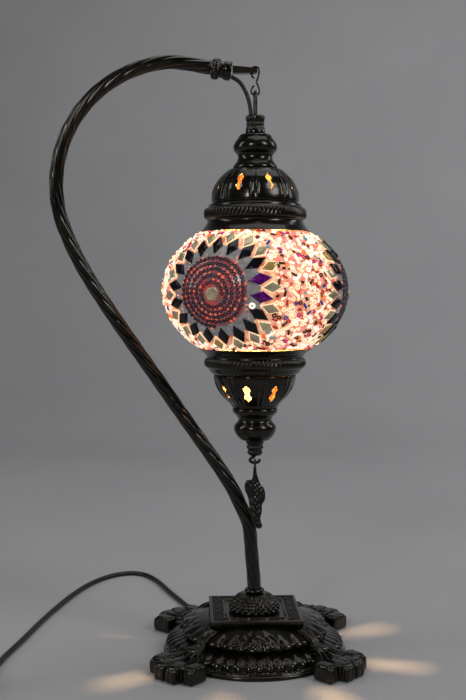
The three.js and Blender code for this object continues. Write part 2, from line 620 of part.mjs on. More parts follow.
addDrums();
addTopPlate();
addBossAndFixings();
addLegs();
addNeck();
addTongue();
addHooks();
addUpperCap();
addLampHolder();
addGlobe();
addLowerCap();
addPendant();
addMainsLead();
addSwitch();
addPlug();

export default lamp;
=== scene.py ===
"""Mosaic glass table lamp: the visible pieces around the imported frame.

Lengths are written in millimetres and made into metres by MM. +Z is up, -Y is the front.
The shade's own profiles are drawn about its hanging axis and placed by SHADE.
"""
import math

import bmesh
import bpy
import numpy as np
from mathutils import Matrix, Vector


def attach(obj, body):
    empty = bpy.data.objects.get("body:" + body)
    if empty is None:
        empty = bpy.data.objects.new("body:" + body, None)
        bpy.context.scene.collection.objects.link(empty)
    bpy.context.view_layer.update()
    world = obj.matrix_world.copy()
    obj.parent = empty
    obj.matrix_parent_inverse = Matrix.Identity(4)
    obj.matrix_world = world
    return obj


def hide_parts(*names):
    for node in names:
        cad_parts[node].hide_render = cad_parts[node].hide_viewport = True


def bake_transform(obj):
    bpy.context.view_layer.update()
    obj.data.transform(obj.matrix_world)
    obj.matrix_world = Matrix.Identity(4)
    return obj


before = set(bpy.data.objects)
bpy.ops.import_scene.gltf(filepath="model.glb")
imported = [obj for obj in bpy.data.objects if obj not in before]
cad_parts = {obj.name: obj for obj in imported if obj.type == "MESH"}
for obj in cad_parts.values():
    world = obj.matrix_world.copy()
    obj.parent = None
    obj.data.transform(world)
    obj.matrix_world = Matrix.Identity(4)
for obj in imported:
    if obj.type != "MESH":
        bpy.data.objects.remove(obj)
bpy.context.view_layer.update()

MM = 0.001
TAU = 2 * math.pi
SHADE = np.array([-0.4, -12.0, 4.0])
rng = np.random.default_rng(7)


# ------------------------------------------------------------------ camera
EYE_HEIGHT = 292.2
EYE_DISTANCE = 855
EYE_AZIMUTH = math.radians(-3.59)
EYE_PITCH = math.radians(2.98)
AIM_LEFT = math.radians(1.18)  # the lamp's stem stands a little right of the picture's middle
FOCAL = 54.0


def make_camera():
    data = bpy.data.cameras.new("camera")
    data.lens = FOCAL
    data.sensor_width = 36
    data.clip_start = 0.05
    data.clip_end = 20
    camera = bpy.data.objects.new("camera", data)
    bpy.context.collection.objects.link(camera)
    side, ahead = math.sin(EYE_AZIMUTH), math.cos(EYE_AZIMUTH)
    camera.location = Vector((side * EYE_DISTANCE, -ahead * EYE_DISTANCE, EYE_HEIGHT)) * MM
    turn = EYE_AZIMUTH + AIM_LEFT
    forward = Vector((-math.sin(turn), math.cos(turn), 0)) * math.cos(EYE_PITCH)
    forward.z = -math.sin(EYE_PITCH)
    camera.rotation_mode = "QUATERNION"
    camera.rotation_quaternion = forward.to_track_quat("-Z", "Y")
    bpy.context.scene.camera = camera


make_camera()


# ------------------------------------------------------------------ materials
def new_material(name):
    material = bpy.data.materials.new(name)
    material.use_nodes = True
    return material, material.node_tree.nodes, material.node_tree.links


def add_node(nodes, kind, **inputs):
    node = nodes.new(kind)
    for name, value in inputs.items():
        node.inputs[name.replace("_", " ")].default_value = value
    return node


def worn_edges(nodes, links, colour, wear):
    """The colour, lightened toward wear where the surface is raised."""
    geometry = nodes.new("ShaderNodeNewGeometry")
    raised = nodes.new("ShaderNodeValToRGB")
    raised.color_ramp.elements[0].position = 0.52
    raised.color_ramp.elements[1].position = 0.62
    links.new(geometry.outputs["Pointiness"], raised.inputs["Fac"])
    worn = nodes.new("ShaderNodeMix")
    worn.data_type = "RGBA"
    worn.inputs["B"].default_value = (*wear, 1)
    links.new(raised.outputs["Color"], worn.inputs["Factor"])
    links.new(colour, worn.inputs["A"])
    return worn.outputs["Result"]


def add_grain(nodes, links, place, shader, strength, scale):
    grain = add_node(nodes, "ShaderNodeTexNoise", Scale=scale, Detail=3.0)
    links.new(place.outputs["Object"], grain.inputs["Vector"])
    relief = add_node(nodes, "ShaderNodeBump", Strength=strength, Distance=0.0003)
    links.new(grain.outputs["Fac"], relief.inputs["Height"])
    links.new(relief.outputs["Normal"], shader.inputs["Normal"])


def mottled(name, dark, light, scale, rough, metallic=0.0, bump=0.0, bump_scale=900.0, coat=0.0,
            glow=0.0, wear=None, transmission=0.0, specular=0.5):
    """A surface whose colour, gloss and height drift with noise; wear lightens raised edges."""
    material, nodes, links = new_material(name)
    shader = nodes["Principled BSDF"]
    shader.inputs["Metallic"].default_value = metallic
    shader.inputs["IOR"].default_value = 1.45
    shader.inputs["Coat Weight"].default_value = coat
    shader.inputs["Coat Roughness"].default_value = 0.12
    shader.inputs["Specular IOR Level"].default_value = specular
    shader.inputs["Transmission Weight"].default_value = transmission
    place = nodes.new("ShaderNodeTexCoord")
    noise = add_node(nodes, "ShaderNodeTexNoise", Scale=scale, Detail=5.0, Roughness=0.6)
    links.new(place.outputs["Object"], noise.inputs["Vector"])
    ramp = nodes.new("ShaderNodeValToRGB")
    ramp.color_ramp.elements[0].position = 0.35
    ramp.color_ramp.elements[1].position = 0.68
    ramp.color_ramp.elements[0].color = (*dark, 1)
    ramp.color_ramp.elements[1].color = (*light, 1)
    links.new(noise.outputs["Fac"], ramp.inputs["Fac"])
    colour = ramp.outputs["Color"]
    if wear:
        colour = worn_edges(nodes, links, colour, wear)
    links.new(colour, shader.inputs["Base Color"])
    gloss = add_node(nodes, "ShaderNodeMapRange", To_Min=rough[0], To_Max=rough[1])
    links.new(noise.outputs["Fac"], gloss.inputs["Value"])
    links.new(gloss.outputs["Result"], shader.inputs["Roughness"])
    if bump:
        add_grain(nodes, links, place, shader, bump, bump_scale)
    # glow makes the colour give off light: on the bulb that is its own light, on the mosaic pieces it is
    # painted glow.
    if glow:
        links.new(colour, shader.inputs["Emission Color"])
        shader.inputs["Emission Strength"].default_value = glow
        material.cycles.emission_sampling = "NONE"
    return material


bronze = mottled("dark_bronze", (0.007, 0.006, 0.004), (0.021, 0.018, 0.011), 70, (0.16, 0.34), 0.8,
                 bump=0.2, bump_scale=420, coat=0.45, wear=(0.05, 0.041, 0.027))
raw_brass = mottled("raw_brass_inside", (0.42, 0.2, 0.05), (0.6, 0.32, 0.1), 90, (0.35, 0.55), 0.5)
zinc = mottled("zinc_steel", (0.42, 0.43, 0.44), (0.62, 0.62, 0.6), 120, (0.25, 0.45), 1.0, bump=0.1)
pin_brass = mottled("pin_brass", (0.6, 0.44, 0.2), (0.78, 0.6, 0.3), 150, (0.18, 0.32), 1.0, bump=0.05)
black_plastic = mottled("black_plastic", (0.008, 0.008, 0.009), (0.016, 0.016, 0.017), 60, (0.25, 0.4),
                        bump=0.15, bump_scale=1500)
lead_pvc = mottled("lead_pvc", (0.006, 0.006, 0.007), (0.014, 0.014, 0.015), 40, (0.3, 0.45), bump=0.1)
felt_green = mottled("felt", (0.015, 0.03, 0.02), (0.04, 0.07, 0.05), 300, (0.9, 1.0), bump=0.8)
glass = mottled("frosted_glass", (0.95, 0.9, 0.82), (1.0, 0.96, 0.9), 50, (0.3, 0.45), transmission=0.8)
bulb_white = mottled("bulb", (1.0, 0.86, 0.66), (1.0, 0.9, 0.74), 30, (0.3, 0.4), glow=6.0)


# ------------------------------------------------------------------ mesh helpers
def quads(rows, cols, close_rows=False, close_cols=True):
    """Faces of a grid of points, joined up round either way."""
    row = np.arange(rows if close_rows else rows - 1)
    col = np.arange(cols if close_cols else cols - 1)
    row, col = np.meshgrid(row, col, indexing="ij")
    row_next, col_next = (row + 1) % rows, (col + 1) % cols
    corners = [row * cols + col, row * cols + col_next, row_next * cols + col_next, row_next * cols + col]
    return np.stack(corners, axis=-1).reshape(-1, 4)


def facing_out(verts, faces):
    """The faces of a closed shape, turned so that it encloses a positive volume."""
    a, b, c = (verts[faces[:, k]] for k in range(3))
    volume = np.einsum("ij,ij->", a, np.cross(b, c))
    if faces.shape[1] == 4:
        volume += np.einsum("ij,ij->", a, np.cross(c, verts[faces[:, 3]]))
    return faces if volume > 0 else faces[:, ::-1]


def make_object(name, verts, faces, material, caps=()):
    """A smooth-shaded mesh object; caps are extra faces of any size."""
    mesh = bpy.data.meshes.new(name)
    polygons = [list(map(int, f)) for f in faces] + [list(map(int, c)) for c in caps]
    mesh.from_pydata((np.asarray(verts) * MM).tolist(), [], polygons)
    mesh.materials.append(material)
    mesh.shade_smooth()
    obj = bpy.data.objects.new(name, mesh)
    bpy.context.collection.objects.link(obj)
    return obj


def finish_piece(obj, body, slot, *nodes):
    """Puts a piece on its body and hides the nodes it stands for; slot is not used."""
    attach(obj, body)
    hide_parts(*nodes)
    return obj


def applied(obj):
    """Bakes an object's modifiers into its mesh."""
    shape = obj.evaluated_get(bpy.context.evaluated_depsgraph_get())
    mesh = bpy.data.meshes.new_from_object(shape)
    obj.modifiers.clear()
    obj.data = mesh
    return obj


def recalculated(obj):
    """Turns a closed mesh's faces outward."""
    shape = bmesh.new()
    shape.from_mesh(obj.data)
    bmesh.ops.recalc_face_normals(shape, faces=shape.faces)
    shape.to_mesh(obj.data)
    shape.free()


def bend(start, pull, end, steps):
    """Points of a curve from start to end that is drawn toward pull."""
    t = np.linspace(0, 1, steps)[:, None]
    start, pull, end = (np.asarray(p, float) for p in (start, pull, end))
    return (1 - t) ** 2 * start + 2 * t * (1 - t) * pull + t**2 * end


def softened(profile, radius, closed):
    """Rounds each corner of a profile with a short curve."""
    p = np.asarray(profile, float)
    count = len(p)
    out = []
    for i in range(count):
        if not closed and i in (0, count - 1):
            out.append(p[i])
            continue
        before, here, after = p[i - 1], p[i], p[(i + 1) % count]
        to_before, to_after = before - here, after - here
        near = here + to_before * min(0.45, radius / max(np.linalg.norm(to_before), 1e-6))
        far = here + to_after * min(0.45, radius / max(np.linalg.norm(to_after), 1e-6))
        out.extend(bend(near, here, far, 3))
    return np.array(out)


def filled(profile, step, closed):
    """Adds points to a profile's long edges, so that relief has something to move."""
    p = np.asarray(profile, float)
    ends = np.vstack([p, p[:1]]) if closed else p
    out = []
    for a, b in zip(ends[:-1], ends[1:]):
        parts = max(1, math.ceil(np.linalg.norm(b - a) / step))
        out.extend(a + (b - a) * k / parts for k in range(parts))
    if not closed:
        out.append(ends[-1])
    return np.array(out)


def turned(profile, sides, relief=None, centre=(0, 0, 0), closed=True, radius=0.5, step=None):
    """Points and faces of a profile of (radius, z) turned about Z. relief(angle, r, z) is added to r."""
    rounded = softened(profile, radius, closed) if radius else np.asarray(profile, float)
    if step:
        rounded = filled(rounded, step, closed)
    angle = np.linspace(0, TAU, sides, endpoint=False)[None, :]
    r, z = rounded[:, :1], rounded[:, 1:]
    r, z = np.broadcast_to(r, (len(rounded), sides)), np.broadcast_to(z, (len(rounded), sides))
    angle = np.broadcast_to(angle, r.shape)
    if relief:
        r = r + np.where(r > 0.01, relief(angle, r, z), 0)
    points = np.stack([r * np.cos(angle), r * np.sin(angle), z], axis=-1).reshape(-1, 3)
    faces = facing_out(points, quads(len(rounded), sides, close_rows=closed))
    return points + np.asarray(centre, float), faces


def weld(obj):
    """Joins the points that a profile's end on the axis leaves on top of each other."""
    modifier = obj.modifiers.new("weld", "WELD")
    modifier.merge_threshold = 1e-6
    return applied(obj)


def turned_piece(name, profile, material, body, slot, node, centre=(0, 0, 0), **shape):
    points, faces = turned(profile, centre=centre, **shape)
    obj = make_object(name, points, faces, material)
    if not shape.get("closed", True):
        obj = weld(obj)
    return finish_piece(obj, body, slot, node)


def casting(name, profile, body, node, centre=(0, 0, 0), **shape):
    """A turned piece of dark bronze."""
    turned_piece(name, profile, bronze, body, "dark_bronze", node, centre, **shape)


def smooth_path(points, step):
    """Points spaced about step apart along a centripetal Catmull-Rom curve."""
    p = np.asarray(points, float)
    p = np.vstack([2 * p[0] - p[1], p, 2 * p[-1] - p[-2]])
    knots = np.concatenate([[0], np.cumsum(np.linalg.norm(np.diff(p, axis=0), axis=1) ** 0.5)])
    dense = []
    for i in range(1, len(p) - 2):
        t0, t1, t2, t3 = knots[i - 1 : i + 3]
        p0, p1, p2, p3 = p[i - 1 : i + 3]
        t = np.linspace(t1, t2, 24, endpoint=False)[:, None]
        a1 = (t1 - t) / (t1 - t0) * p0 + (t - t0) / (t1 - t0) * p1
        a2 = (t2 - t) / (t2 - t1) * p1 + (t - t1) / (t2 - t1) * p2
        a3 = (t3 - t) / (t3 - t2) * p2 + (t - t2) / (t3 - t2) * p3
        b1 = (t2 - t) / (t2 - t0) * a1 + (t - t0) / (t2 - t0) * a2
        b2 = (t3 - t) / (t3 - t1) * a2 + (t - t1) / (t3 - t1) * a3
        dense.append((t2 - t) / (t2 - t1) * b1 + (t - t1) / (t2 - t1) * b2)
    dense = np.vstack([*dense, p[-2]])
    along = np.concatenate([[0], np.cumsum(np.linalg.norm(np.diff(dense, axis=0), axis=1))])
    marks = np.linspace(0, along[-1], max(2, round(along[-1] / step) + 1))
    return np.stack([np.interp(marks, along, dense[:, k]) for k in range(3)], axis=1)


def capped(points, rings, sides):
    """Faces and end caps of a run of rings, facing outward."""
    faces = quads(rings, sides)
    last = (rings - 1) * sides
    caps = [list(range(sides))[::-1], list(range(last, last + sides))]
    a, b, c = (points[faces[:, k]] - points.mean(0) for k in range(3))
    if np.einsum("ij,ij->", a, np.cross(b, c)) < 0:
        faces = faces[:, ::-1]
        caps = [cap[::-1] for cap in caps]
    return faces, caps


def tube(path, radius, sides):
    """Points, faces and end caps of a tube. radius is a number or radius(angle, distance along)."""
    tangent = np.gradient(path, axis=0)
    tangent /= np.linalg.norm(tangent, axis=1)[:, None]
    side = np.cross(tangent[0], [0.3, 1, 0.2])
    across = []
    for t in tangent:
        side = side - t * (side @ t)
        side = side / np.linalg.norm(side)
        across.append(side)
    across = np.array(across)
    over = np.cross(tangent, across)
    angle = np.linspace(0, TAU, sides, endpoint=False)
    along = np.concatenate([[0], np.cumsum(np.linalg.norm(np.diff(path, axis=0), axis=1))])
    r = radius(angle[None, :], along[:, None]) if callable(radius) else np.full((len(path), sides), radius)
    ring = np.cos(angle)[None, :, None] * across[:, None] + np.sin(angle)[None, :, None] * over[:, None]
    points = (path[:, None] + r[..., None] * ring).reshape(-1, 3)
    return points, *capped(points, len(path), sides)


def bronze_tube(name, path, radius, body, node, sides):
    points, faces, caps = tube(path, radius, sides)
    return finish_piece(make_object(name, points, faces, bronze, caps), body, "dark_bronze", node)


def joined_shapes(shapes):
    """Several (points, faces) or (points, faces, caps) as one."""
    points, faces, caps, start = [], [], [], 0
    for p, f, *ends in shapes:
        points.append(p)
        faces.append(np.asarray(f) + start)
        caps += [[i + start for i in cap] for group in ends for cap in group]
        start += len(p)
    return np.vstack(points), np.vstack(faces), caps


# ------------------------------------------------------------------ mains lead
CORD_RADIUS = 2.25
EXIT_ANGLE = math.radians(116)
EXIT_Z = 6.6
GROMMET_START = 66
GROMMET_LENGTH = 31
REST_Z = 2.35  # the lead's middle when it lies on the table
COIL_CENTRE = np.array([-260.0, -158.0])
COIL_MEAN_RADIUS = 26.2
COIL_OUTER = 33.2
TURN_PITCH = 4.6  # from one turn's middle to the next
SWITCH_CENTRE = np.array([-221.0, -90.0])
SWITCH_HEADING = math.radians(-108)
SWITCH_LENGTH = 58
ROCKER_POCKET = (19, 11.4)
PLUG_CENTRE = np.array([-284.0, -84.0])
PLUG_HEADING = math.radians(78)
PLUG_LENGTH = 34
PLUG_MID_Z = 6.8
CORD_NODES = ["mains_cord_run", "mains_cord_link", "mains_cord_coil", "mains_cord_tail"]


def on_exit(radius, z):
    return [math.cos(EXIT_ANGLE) * radius, math.sin(EXIT_ANGLE) * radius, z]


def along(centre, heading, distance, z):
    spot = centre + distance * np.array([math.cos(heading), math.sin(heading)])
    return [spot[0], spot[1], z]


def coil_points():
    """Two layers of three turns, wound inward below and outward on top, then down the outside."""
    radii = [COIL_MEAN_RADIUS + k * TURN_PITCH for k in (1, 0, -1)]
    per_turn = 16
    points = []
    for layer, order in enumerate([radii, radii[::-1]]):
        for i, radius in enumerate(order):
            following = order[min(i + 1, 2)]
            for k in range(per_turn):
                ease = max(0.0, (k - per_turn * 0.5) / (per_turn * 0.5))
                r = radius + (following - radius) * ease
                lift = ease if (layer == 0 and i == 2) else layer
                if len(points) < 4:  # the lead comes in from outside the coil
                    r += (COIL_OUTER + CORD_RADIUS + 0.3 - radii[0]) * (1 - len(points) / 4)
                angle = -TAU * k / per_turn
                points.append([r * math.cos(angle), r * math.sin(angle), REST_Z + TURN_PITCH * lift])
    for k in range(9):
        over = math.pi / 2 * max(0.0, 1 - max(0, k - 2) / 5)
        r = radii[0] + TURN_PITCH * math.cos(over)
        angle = -TAU * k / per_turn
        points.append([r * math.cos(angle), r * math.sin(angle), REST_Z + TURN_PITCH * math.sin(over)])
    points = np.array(points)
    points[:, :2] += COIL_CENTRE
    return points.tolist()


def cord_route():
    start = GROMMET_START + GROMMET_LENGTH + 0.3
    half = SWITCH_LENGTH / 2 + 0.6
    left = COIL_CENTRE[0] - COIL_OUTER - CORD_RADIUS - 0.3
    plug_end = -PLUG_LENGTH / 2 - 0.3
    lying = [
        (-64, 138), (-73, 163), (-81, 188), (-90, 211), (-101, 228), (-114, 234), (-128, 229),
        (-142, 214), (-155, 190), (-166, 158), (-177, 114), (-186, 70), (-194, 24), (-201, -12),
    ]
    route = [on_exit(start, EXIT_Z), on_exit(start + 12, EXIT_Z - 0.8), on_exit(start + 28, REST_Z + 0.3)]
    route += [[x, y, REST_Z] for x, y in lying]
    route += [
        along(SWITCH_CENTRE, SWITCH_HEADING, -half - 18, REST_Z + 0.6),
        along(SWITCH_CENTRE, SWITCH_HEADING, -half - 4, 5.8),
        along(SWITCH_CENTRE, SWITCH_HEADING, -half, 6),
        along(SWITCH_CENTRE, SWITCH_HEADING, half, 6),
        along(SWITCH_CENTRE, SWITCH_HEADING, half + 4, 5.8),
        along(SWITCH_CENTRE, SWITCH_HEADING, half + 14, REST_Z + 0.6),
        [COIL_CENTRE[0] + COIL_OUTER + CORD_RADIUS + 0.7, COIL_CENTRE[1] + 14, REST_Z],
    ]
    route += coil_points()
    route += [
        [left, COIL_CENTRE[1] + 18, REST_Z],
        along(PLUG_CENTRE, PLUG_HEADING, plug_end - 20, REST_Z + 0.9),
        along(PLUG_CENTRE, PLUG_HEADING, plug_end - 4, PLUG_MID_Z - 0.4),
        along(PLUG_CENTRE, PLUG_HEADING, plug_end, PLUG_MID_Z),
    ]
    return smooth_path(route, 3)


def make_cord():
    points = cord_route()
    points[:, 2] = np.maximum(points[:, 2], CORD_RADIUS + 0.02)
    curve = bpy.data.curves.new("mains_cord", "CURVE")
    curve.dimensions = "3D"
    curve.bevel_depth = CORD_RADIUS * MM
    curve.bevel_resolution = 4
    curve.use_fill_caps = True
    curve.materials.append(lead_pvc)
    spline = curve.splines.new("POLY")
    spline.points.add(len(points) - 1)
    spline.points.foreach_set("co", np.hstack([points * MM, np.ones((len(points), 1))]).ravel())
    spline.use_smooth = True
    cord = bpy.data.objects.new("mains_cord", curve)
    bpy.context.collection.objects.link(cord)
    finish_piece(cord, "stand", "lead_pvc", *CORD_NODES)
    return cord, points


def grommet_ribs(angle, r, z):
    return np.where(z > 13, 0.35 * np.sign(np.sin((z - 13) * TAU / 3.6)), 0)


def make_grommet():
    """The strain relief: a sleeve with a flange and a tapered, ribbed tail."""
    profile = [
        (0, 0), (3.8, 0), (3.8, 9.4), (5.4, 9.4), (5.4, 11.4), (4.4, 12.2), (2.7, GROMMET_LENGTH),
        (0, GROMMET_LENGTH),
    ]
    points, faces = turned(profile, 32, grommet_ribs, closed=False, radius=0.3, step=0.45)
    x, y, z = points.T
    heading = np.array([math.cos(EXIT_ANGLE), math.sin(EXIT_ANGLE)])
    out = (GROMMET_START + z)[:, None] * heading + y[:, None] * np.array([-heading[1], heading[0]])
    points = np.column_stack([out, EXIT_Z - x])
    obj = weld(make_object("grommet", points, facing_out(points, faces), lead_pvc))
    finish_piece(obj, "stand", "lead_pvc", "cord_grommet")


def pill(length, width, end_width, round_length):
    """Outline of the switch: straight sides and rounded ends."""
    half, wide = length / 2, width / 2
    corner = bend((half, end_width / 2), (half - round_length / 2, wide), (half - round_length, wide), 8)
    top = np.vstack([corner, corner[::-1] * np.array([-1, 1])])
    return np.vstack([top, top[::-1] * np.array([1, -1])])


def moulding(name, outline, levels, centre, heading):
    """A moulded body: an outline drawn in by each level's inset at its height, closed at both ends."""
    middle = outline.mean(0)
    away = outline - middle
    size = np.abs(away).max(0)
    rings = []
    for inset, z in levels:
        rings.append(np.column_stack([middle + away * (1 - inset / size), np.full(len(outline), z)]))
    points = np.vstack(rings)
    turn = np.array([[math.cos(heading), math.sin(heading)], [-math.sin(heading), math.cos(heading)]])
    points[:, :2] = points[:, :2] @ turn + centre
    faces, caps = capped(points, len(levels), len(outline))
    obj = make_object(name, points, faces, black_plastic, caps)
    obj.data.set_sharp_from_angle(angle=math.radians(50))
    return obj


def cutter_box(centre, heading, size, z):
    bpy.ops.mesh.primitive_cube_add(size=1, location=Vector((*centre, z)) * MM)
    box = bpy.context.active_object
    box.scale = Vector(size) * MM
    box.rotation_euler = (0, 0, heading)
    return box


def cut_with(obj, cutter):
    boolean = obj.modifiers.new("cut", "BOOLEAN")
    boolean.object = cutter
    boolean.operation = "DIFFERENCE"
    boolean.solver = "EXACT"
    bpy.context.view_layer.update()
    applied(obj)
    bpy.data.objects.remove(cutter)


def make_switch():
    """Two shells with the rocker's opening through the upper one."""
    outline = pill(SWITCH_LENGTH, 24, 9, 16)
    base_levels = [(1.2, 0), (0.2, 0.8), (0, 2), (0, 8.3)]
    cover_levels = [(0, 8.7), (0, 14), (0.7, 15.8), (2, 16.8), (3.4, 17)]
    shells = (
        ("switch_base", base_levels, 9, 8.5),
        ("switch_cover", cover_levels, 20, 13.5),
    )
    for node, levels, pocket_height, pocket_z in shells:
        shell = moulding(f"{node}_shell", outline, levels, SWITCH_CENTRE, SWITCH_HEADING)
        cut_with(shell, cutter_box(SWITCH_CENTRE, SWITCH_HEADING, (*ROCKER_POCKET, pocket_height), pocket_z))
        finish_piece(shell, "stand", "black_plastic", node)


def make_plug():
    """A flat plug that narrows toward its lead, with a groove round its middle."""
    half, wide = PLUG_LENGTH / 2, 13
    shoulder = bend((-half, 5), (-half / 2, wide), (2, wide), 8)
    side = np.vstack([shoulder, [[half - 1.5, wide], [half - 0.4, wide - 0.4], [half, wide - 1.5]]])
    outline = np.vstack([side, side[::-1] * np.array([1, -1])])
    levels = [
        (1.6, 0), (0.4, 0.7), (0, 2), (0, 6.4), (0.35, 6.8), (0, 7.2), (0, 11.6), (0.4, 12.9), (1.6, 13.6),
    ]
    plug = moulding("plug", outline, levels, PLUG_CENTRE, PLUG_HEADING)
    finish_piece(plug, "stand", "black_plastic", "plug_body")


def bevelled(node, material, width):
    """A carried-over CAD node: its own finish and softened edges."""
    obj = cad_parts[node]
    obj.data.materials.clear()
    obj.data.materials.append(material)
    bevel = obj.modifiers.new("softened_edges", "BEVEL")
    bevel.width = width * MM
    bevel.segments = 3
    bevel.limit_method = "ANGLE"
    bevel.angle_limit = math.radians(40)


cord, cord_points = make_cord()
make_grommet()
make_switch()
make_plug()
bevelled("switch_rocker", black_plastic, 0.6)
bevelled("plug_pin_1", pin_brass, 0.7)
bevelled("plug_pin_2", pin_brass, 0.7)


# ------------------------------------------------------------------ base castings
PLATE_HALF = 36.8
PLATE_BOTTOM_Z = 26
PLATE_TOP_Z = 34.6
NECK_HOLE = 5.7


def bell(x, middle, width):
    return np.exp(-(((x - middle) / width) ** 2))


def gadroons(angle, r, z):
    """A band of upright eggs with a rib between neighbours."""
    share = ((angle + math.pi / 4) % (math.pi / 2)) / (math.pi / 4) - 1  # -1 and 1 are at the legs
    lobe = 5.5 * (1.25 * share - 0.25 * share**3)  # eleven lobes a side, wider next to the legs
    across = np.abs((lobe + 0.5) % 1 - 0.5) * 2  # 0 in the middle of a lobe, 1 between lobes
    height = (z - 10.2) / 6.4
    egg = np.sqrt(np.clip(1 - (across * (1.05 - 0.25 * height)) ** 2 - height**2, 0, 1))
    rib = bell(across, 1, 0.14) * bell(z, 10.4, 3.0)
    return (3.1 * egg + 0.8 * rib - 1.1) * np.clip(1.4 * bell(z, 10.2, 4.6), 0, 1) * (r > 56)


def make_lower_drum():
    profile = [
        (NECK_HOLE, 13), (54, 13), (67.5, 4.5), (70, 2.8), (70, 0.1), (75, 0.1), (75, 2.6), (73.6, 3.4),
        (73.4, 4.6), (71.6, 5.2), (71.4, 7.5), (70, 10), (66, 13), (61, 14.8), (58, 16), (NECK_HOLE, 16),
    ]
    casting("lower_drum_casting", profile, "stand", "lower_drum", sides=336, relief=gadroons,
            radius=0.6, step=0.9)


def leafage(angle, r, z):
    """On each side a veined leaf with two round lobes to its left and right."""
    quarter = (angle + math.pi / 4) % (math.pi / 2) - math.pi / 4  # from the middle of each side
    side = np.abs(quarter)
    leaf = 1 / (1 + np.exp((side - 0.25) / 0.015))
    veins = np.cos(quarter * 30 + np.sign(quarter) * (z - 20) * 0.8) + 0.4 * np.cos(side * 60 - z)
    tip = bell(side, 0, 0.05) * bell(z, 19, 2.5)
    edge = bell(side, 0.265 + 0.012 * np.cos(z * 2), 0.018)
    height = (z - 22) / 5.2
    lobes = 0
    for middle, width in ((0.39, 0.1), (0.6, 0.105)):
        lobes = lobes + np.sqrt(np.clip(1 - ((side - middle) / width) ** 2 - height**2, 0, 1))
    outside = (r > 39) * np.clip(bell(z, 20.6, 3.9) + 0.9 * bell(z, 26.5, 2.8), 0, 1)
    return outside * (0.75 * leaf * veins + 1.3 * tip + 0.8 * edge + 2.6 * lobes - 0.8)


def make_upper_drum():
    """The drum under the plate, with a square pocket for it."""
    profile = [
        (NECK_HOLE, 22), (46, 22), (51, 20.5), (54, 16.3), (58, 16.3), (60.2, 17.4), (61, 19.6),
        (59.6, 22), (55.4, 24.6), (49.6, 27.2), (43.6, 29), (38.5, 30), (NECK_HOLE, 30),
    ]
    points, faces = turned(profile, 360, leafage, radius=0.8, step=0.8)
    obj = make_object("upper_drum_casting", points, faces, bronze)
    pocket = 2 * (PLATE_HALF + 0.3)
    cut_with(obj, cutter_box((0, 0), 0, (pocket, pocket, 20), PLATE_BOTTOM_Z - 0.3 + 10))
    finish_piece(obj, "stand", "dark_bronze", "upper_drum")


def smooth_step(value, at, soft):
    return 1 / (1 + np.exp(-(value - at) / soft))


def plate_height(x, y):
    """The plate's top: a raised rim, a vine with blossoms in the border and an inner frame."""
    edge = np.maximum(np.abs(x), np.abs(y))
    run = np.where(np.abs(x) > np.abs(y), y, x)  # distance along each side's strip
    across = (edge - 29.8) / 3.6
    vine = bell(across, 0.45 * np.sin(TAU * run / 15), 0.2)
    spot = (run + 3.75) % 7.5 - 3.75
    side = np.where(np.floor((run + 3.75) / 7.5) % 2 == 0, 0.3, -0.3)
    angle = np.arctan2(spot, (across - side) * 3.6)
    blossom = bell(np.hypot(spot, (across - side) * 3.6), 0, 2.3) * (0.65 + 0.35 * np.cos(5 * angle))
    seeds = 0.35 * np.cos(TAU * run / 1.9) * np.cos(TAU * edge / 1.9)
    rim = 1.5 * smooth_step(edge, 34, 0.12) - 0.5 * smooth_step(edge, PLATE_HALF - 0.5, 0.12)
    inner_frame = 1.3 * (smooth_step(edge, 24, 0.1) - smooth_step(edge, 25.9, 0.1))
    border = smooth_step(edge, 26.3, 0.15) - smooth_step(edge, 33.4, 0.15)
    return PLATE_TOP_Z - 1.5 + rim + inner_frame + (1.1 * vine + 1.5 * blossom + seeds) * border


def border_of(index):
    """The points round the edge of a grid of point numbers, in order."""
    return np.concatenate([index[:-1, 0], index[-1, :-1], index[:0:-1, -1], index[0, :0:-1]])


def make_plate():
    """Square plate whose sides have a bead and an undercut."""
    count = 190
    line = np.linspace(-PLATE_HALF, PLATE_HALF, count)
    x, y = np.meshgrid(line, line, indexing="ij")
    top = np.stack([x, y, plate_height(x, y)], axis=-1).reshape(-1, 3)
    rim = border_of(np.arange(count * count).reshape(count, count))
    sides = []
    for drop, size in ((0.5, 0), (5.4, 0), (6.2, -0.6), (7.4, -0.6), (PLATE_TOP_Z - PLATE_BOTTOM_Z, 0)):
        ring = top[rim].copy()
        ring[:, 2] = PLATE_TOP_Z - drop
        ring[:, :2] *= 1 + size / PLATE_HALF
        sides.append(ring)
    rings = [rim] + [len(top) + k * len(rim) + np.arange(len(rim)) for k in range(len(sides))]
    faces = [quads(count, count, close_cols=False)]
    for upper, lower in zip(rings[:-1], rings[1:]):
        faces.append(np.column_stack([lower, np.roll(lower, -1), np.roll(upper, -1), upper]))
    obj = make_object("plate_casting", np.vstack([top, *sides]), np.vstack(faces), bronze, [rings[-1]])
    recalculated(obj)
    finish_piece(obj, "stand", "dark_bronze", "top_plate")


def scales(angle, r, z):
    """Rows of pointed scales that grow toward the foot of the boss."""
    height = np.clip((z - 34.4) / 13, 0, 1)
    row = 4.2 * (1 - (1 - height) ** 1.3)
    left = np.abs(np.sin(11 * angle + 0.5 * math.pi * row))
    right = np.abs(np.sin(11 * angle - 0.5 * math.pi * row))
    return (1.9 * (left * right) ** 0.8 - 0.7) * (r > 9.5) * (z > 34.5) * (1 - 0.55 * height)


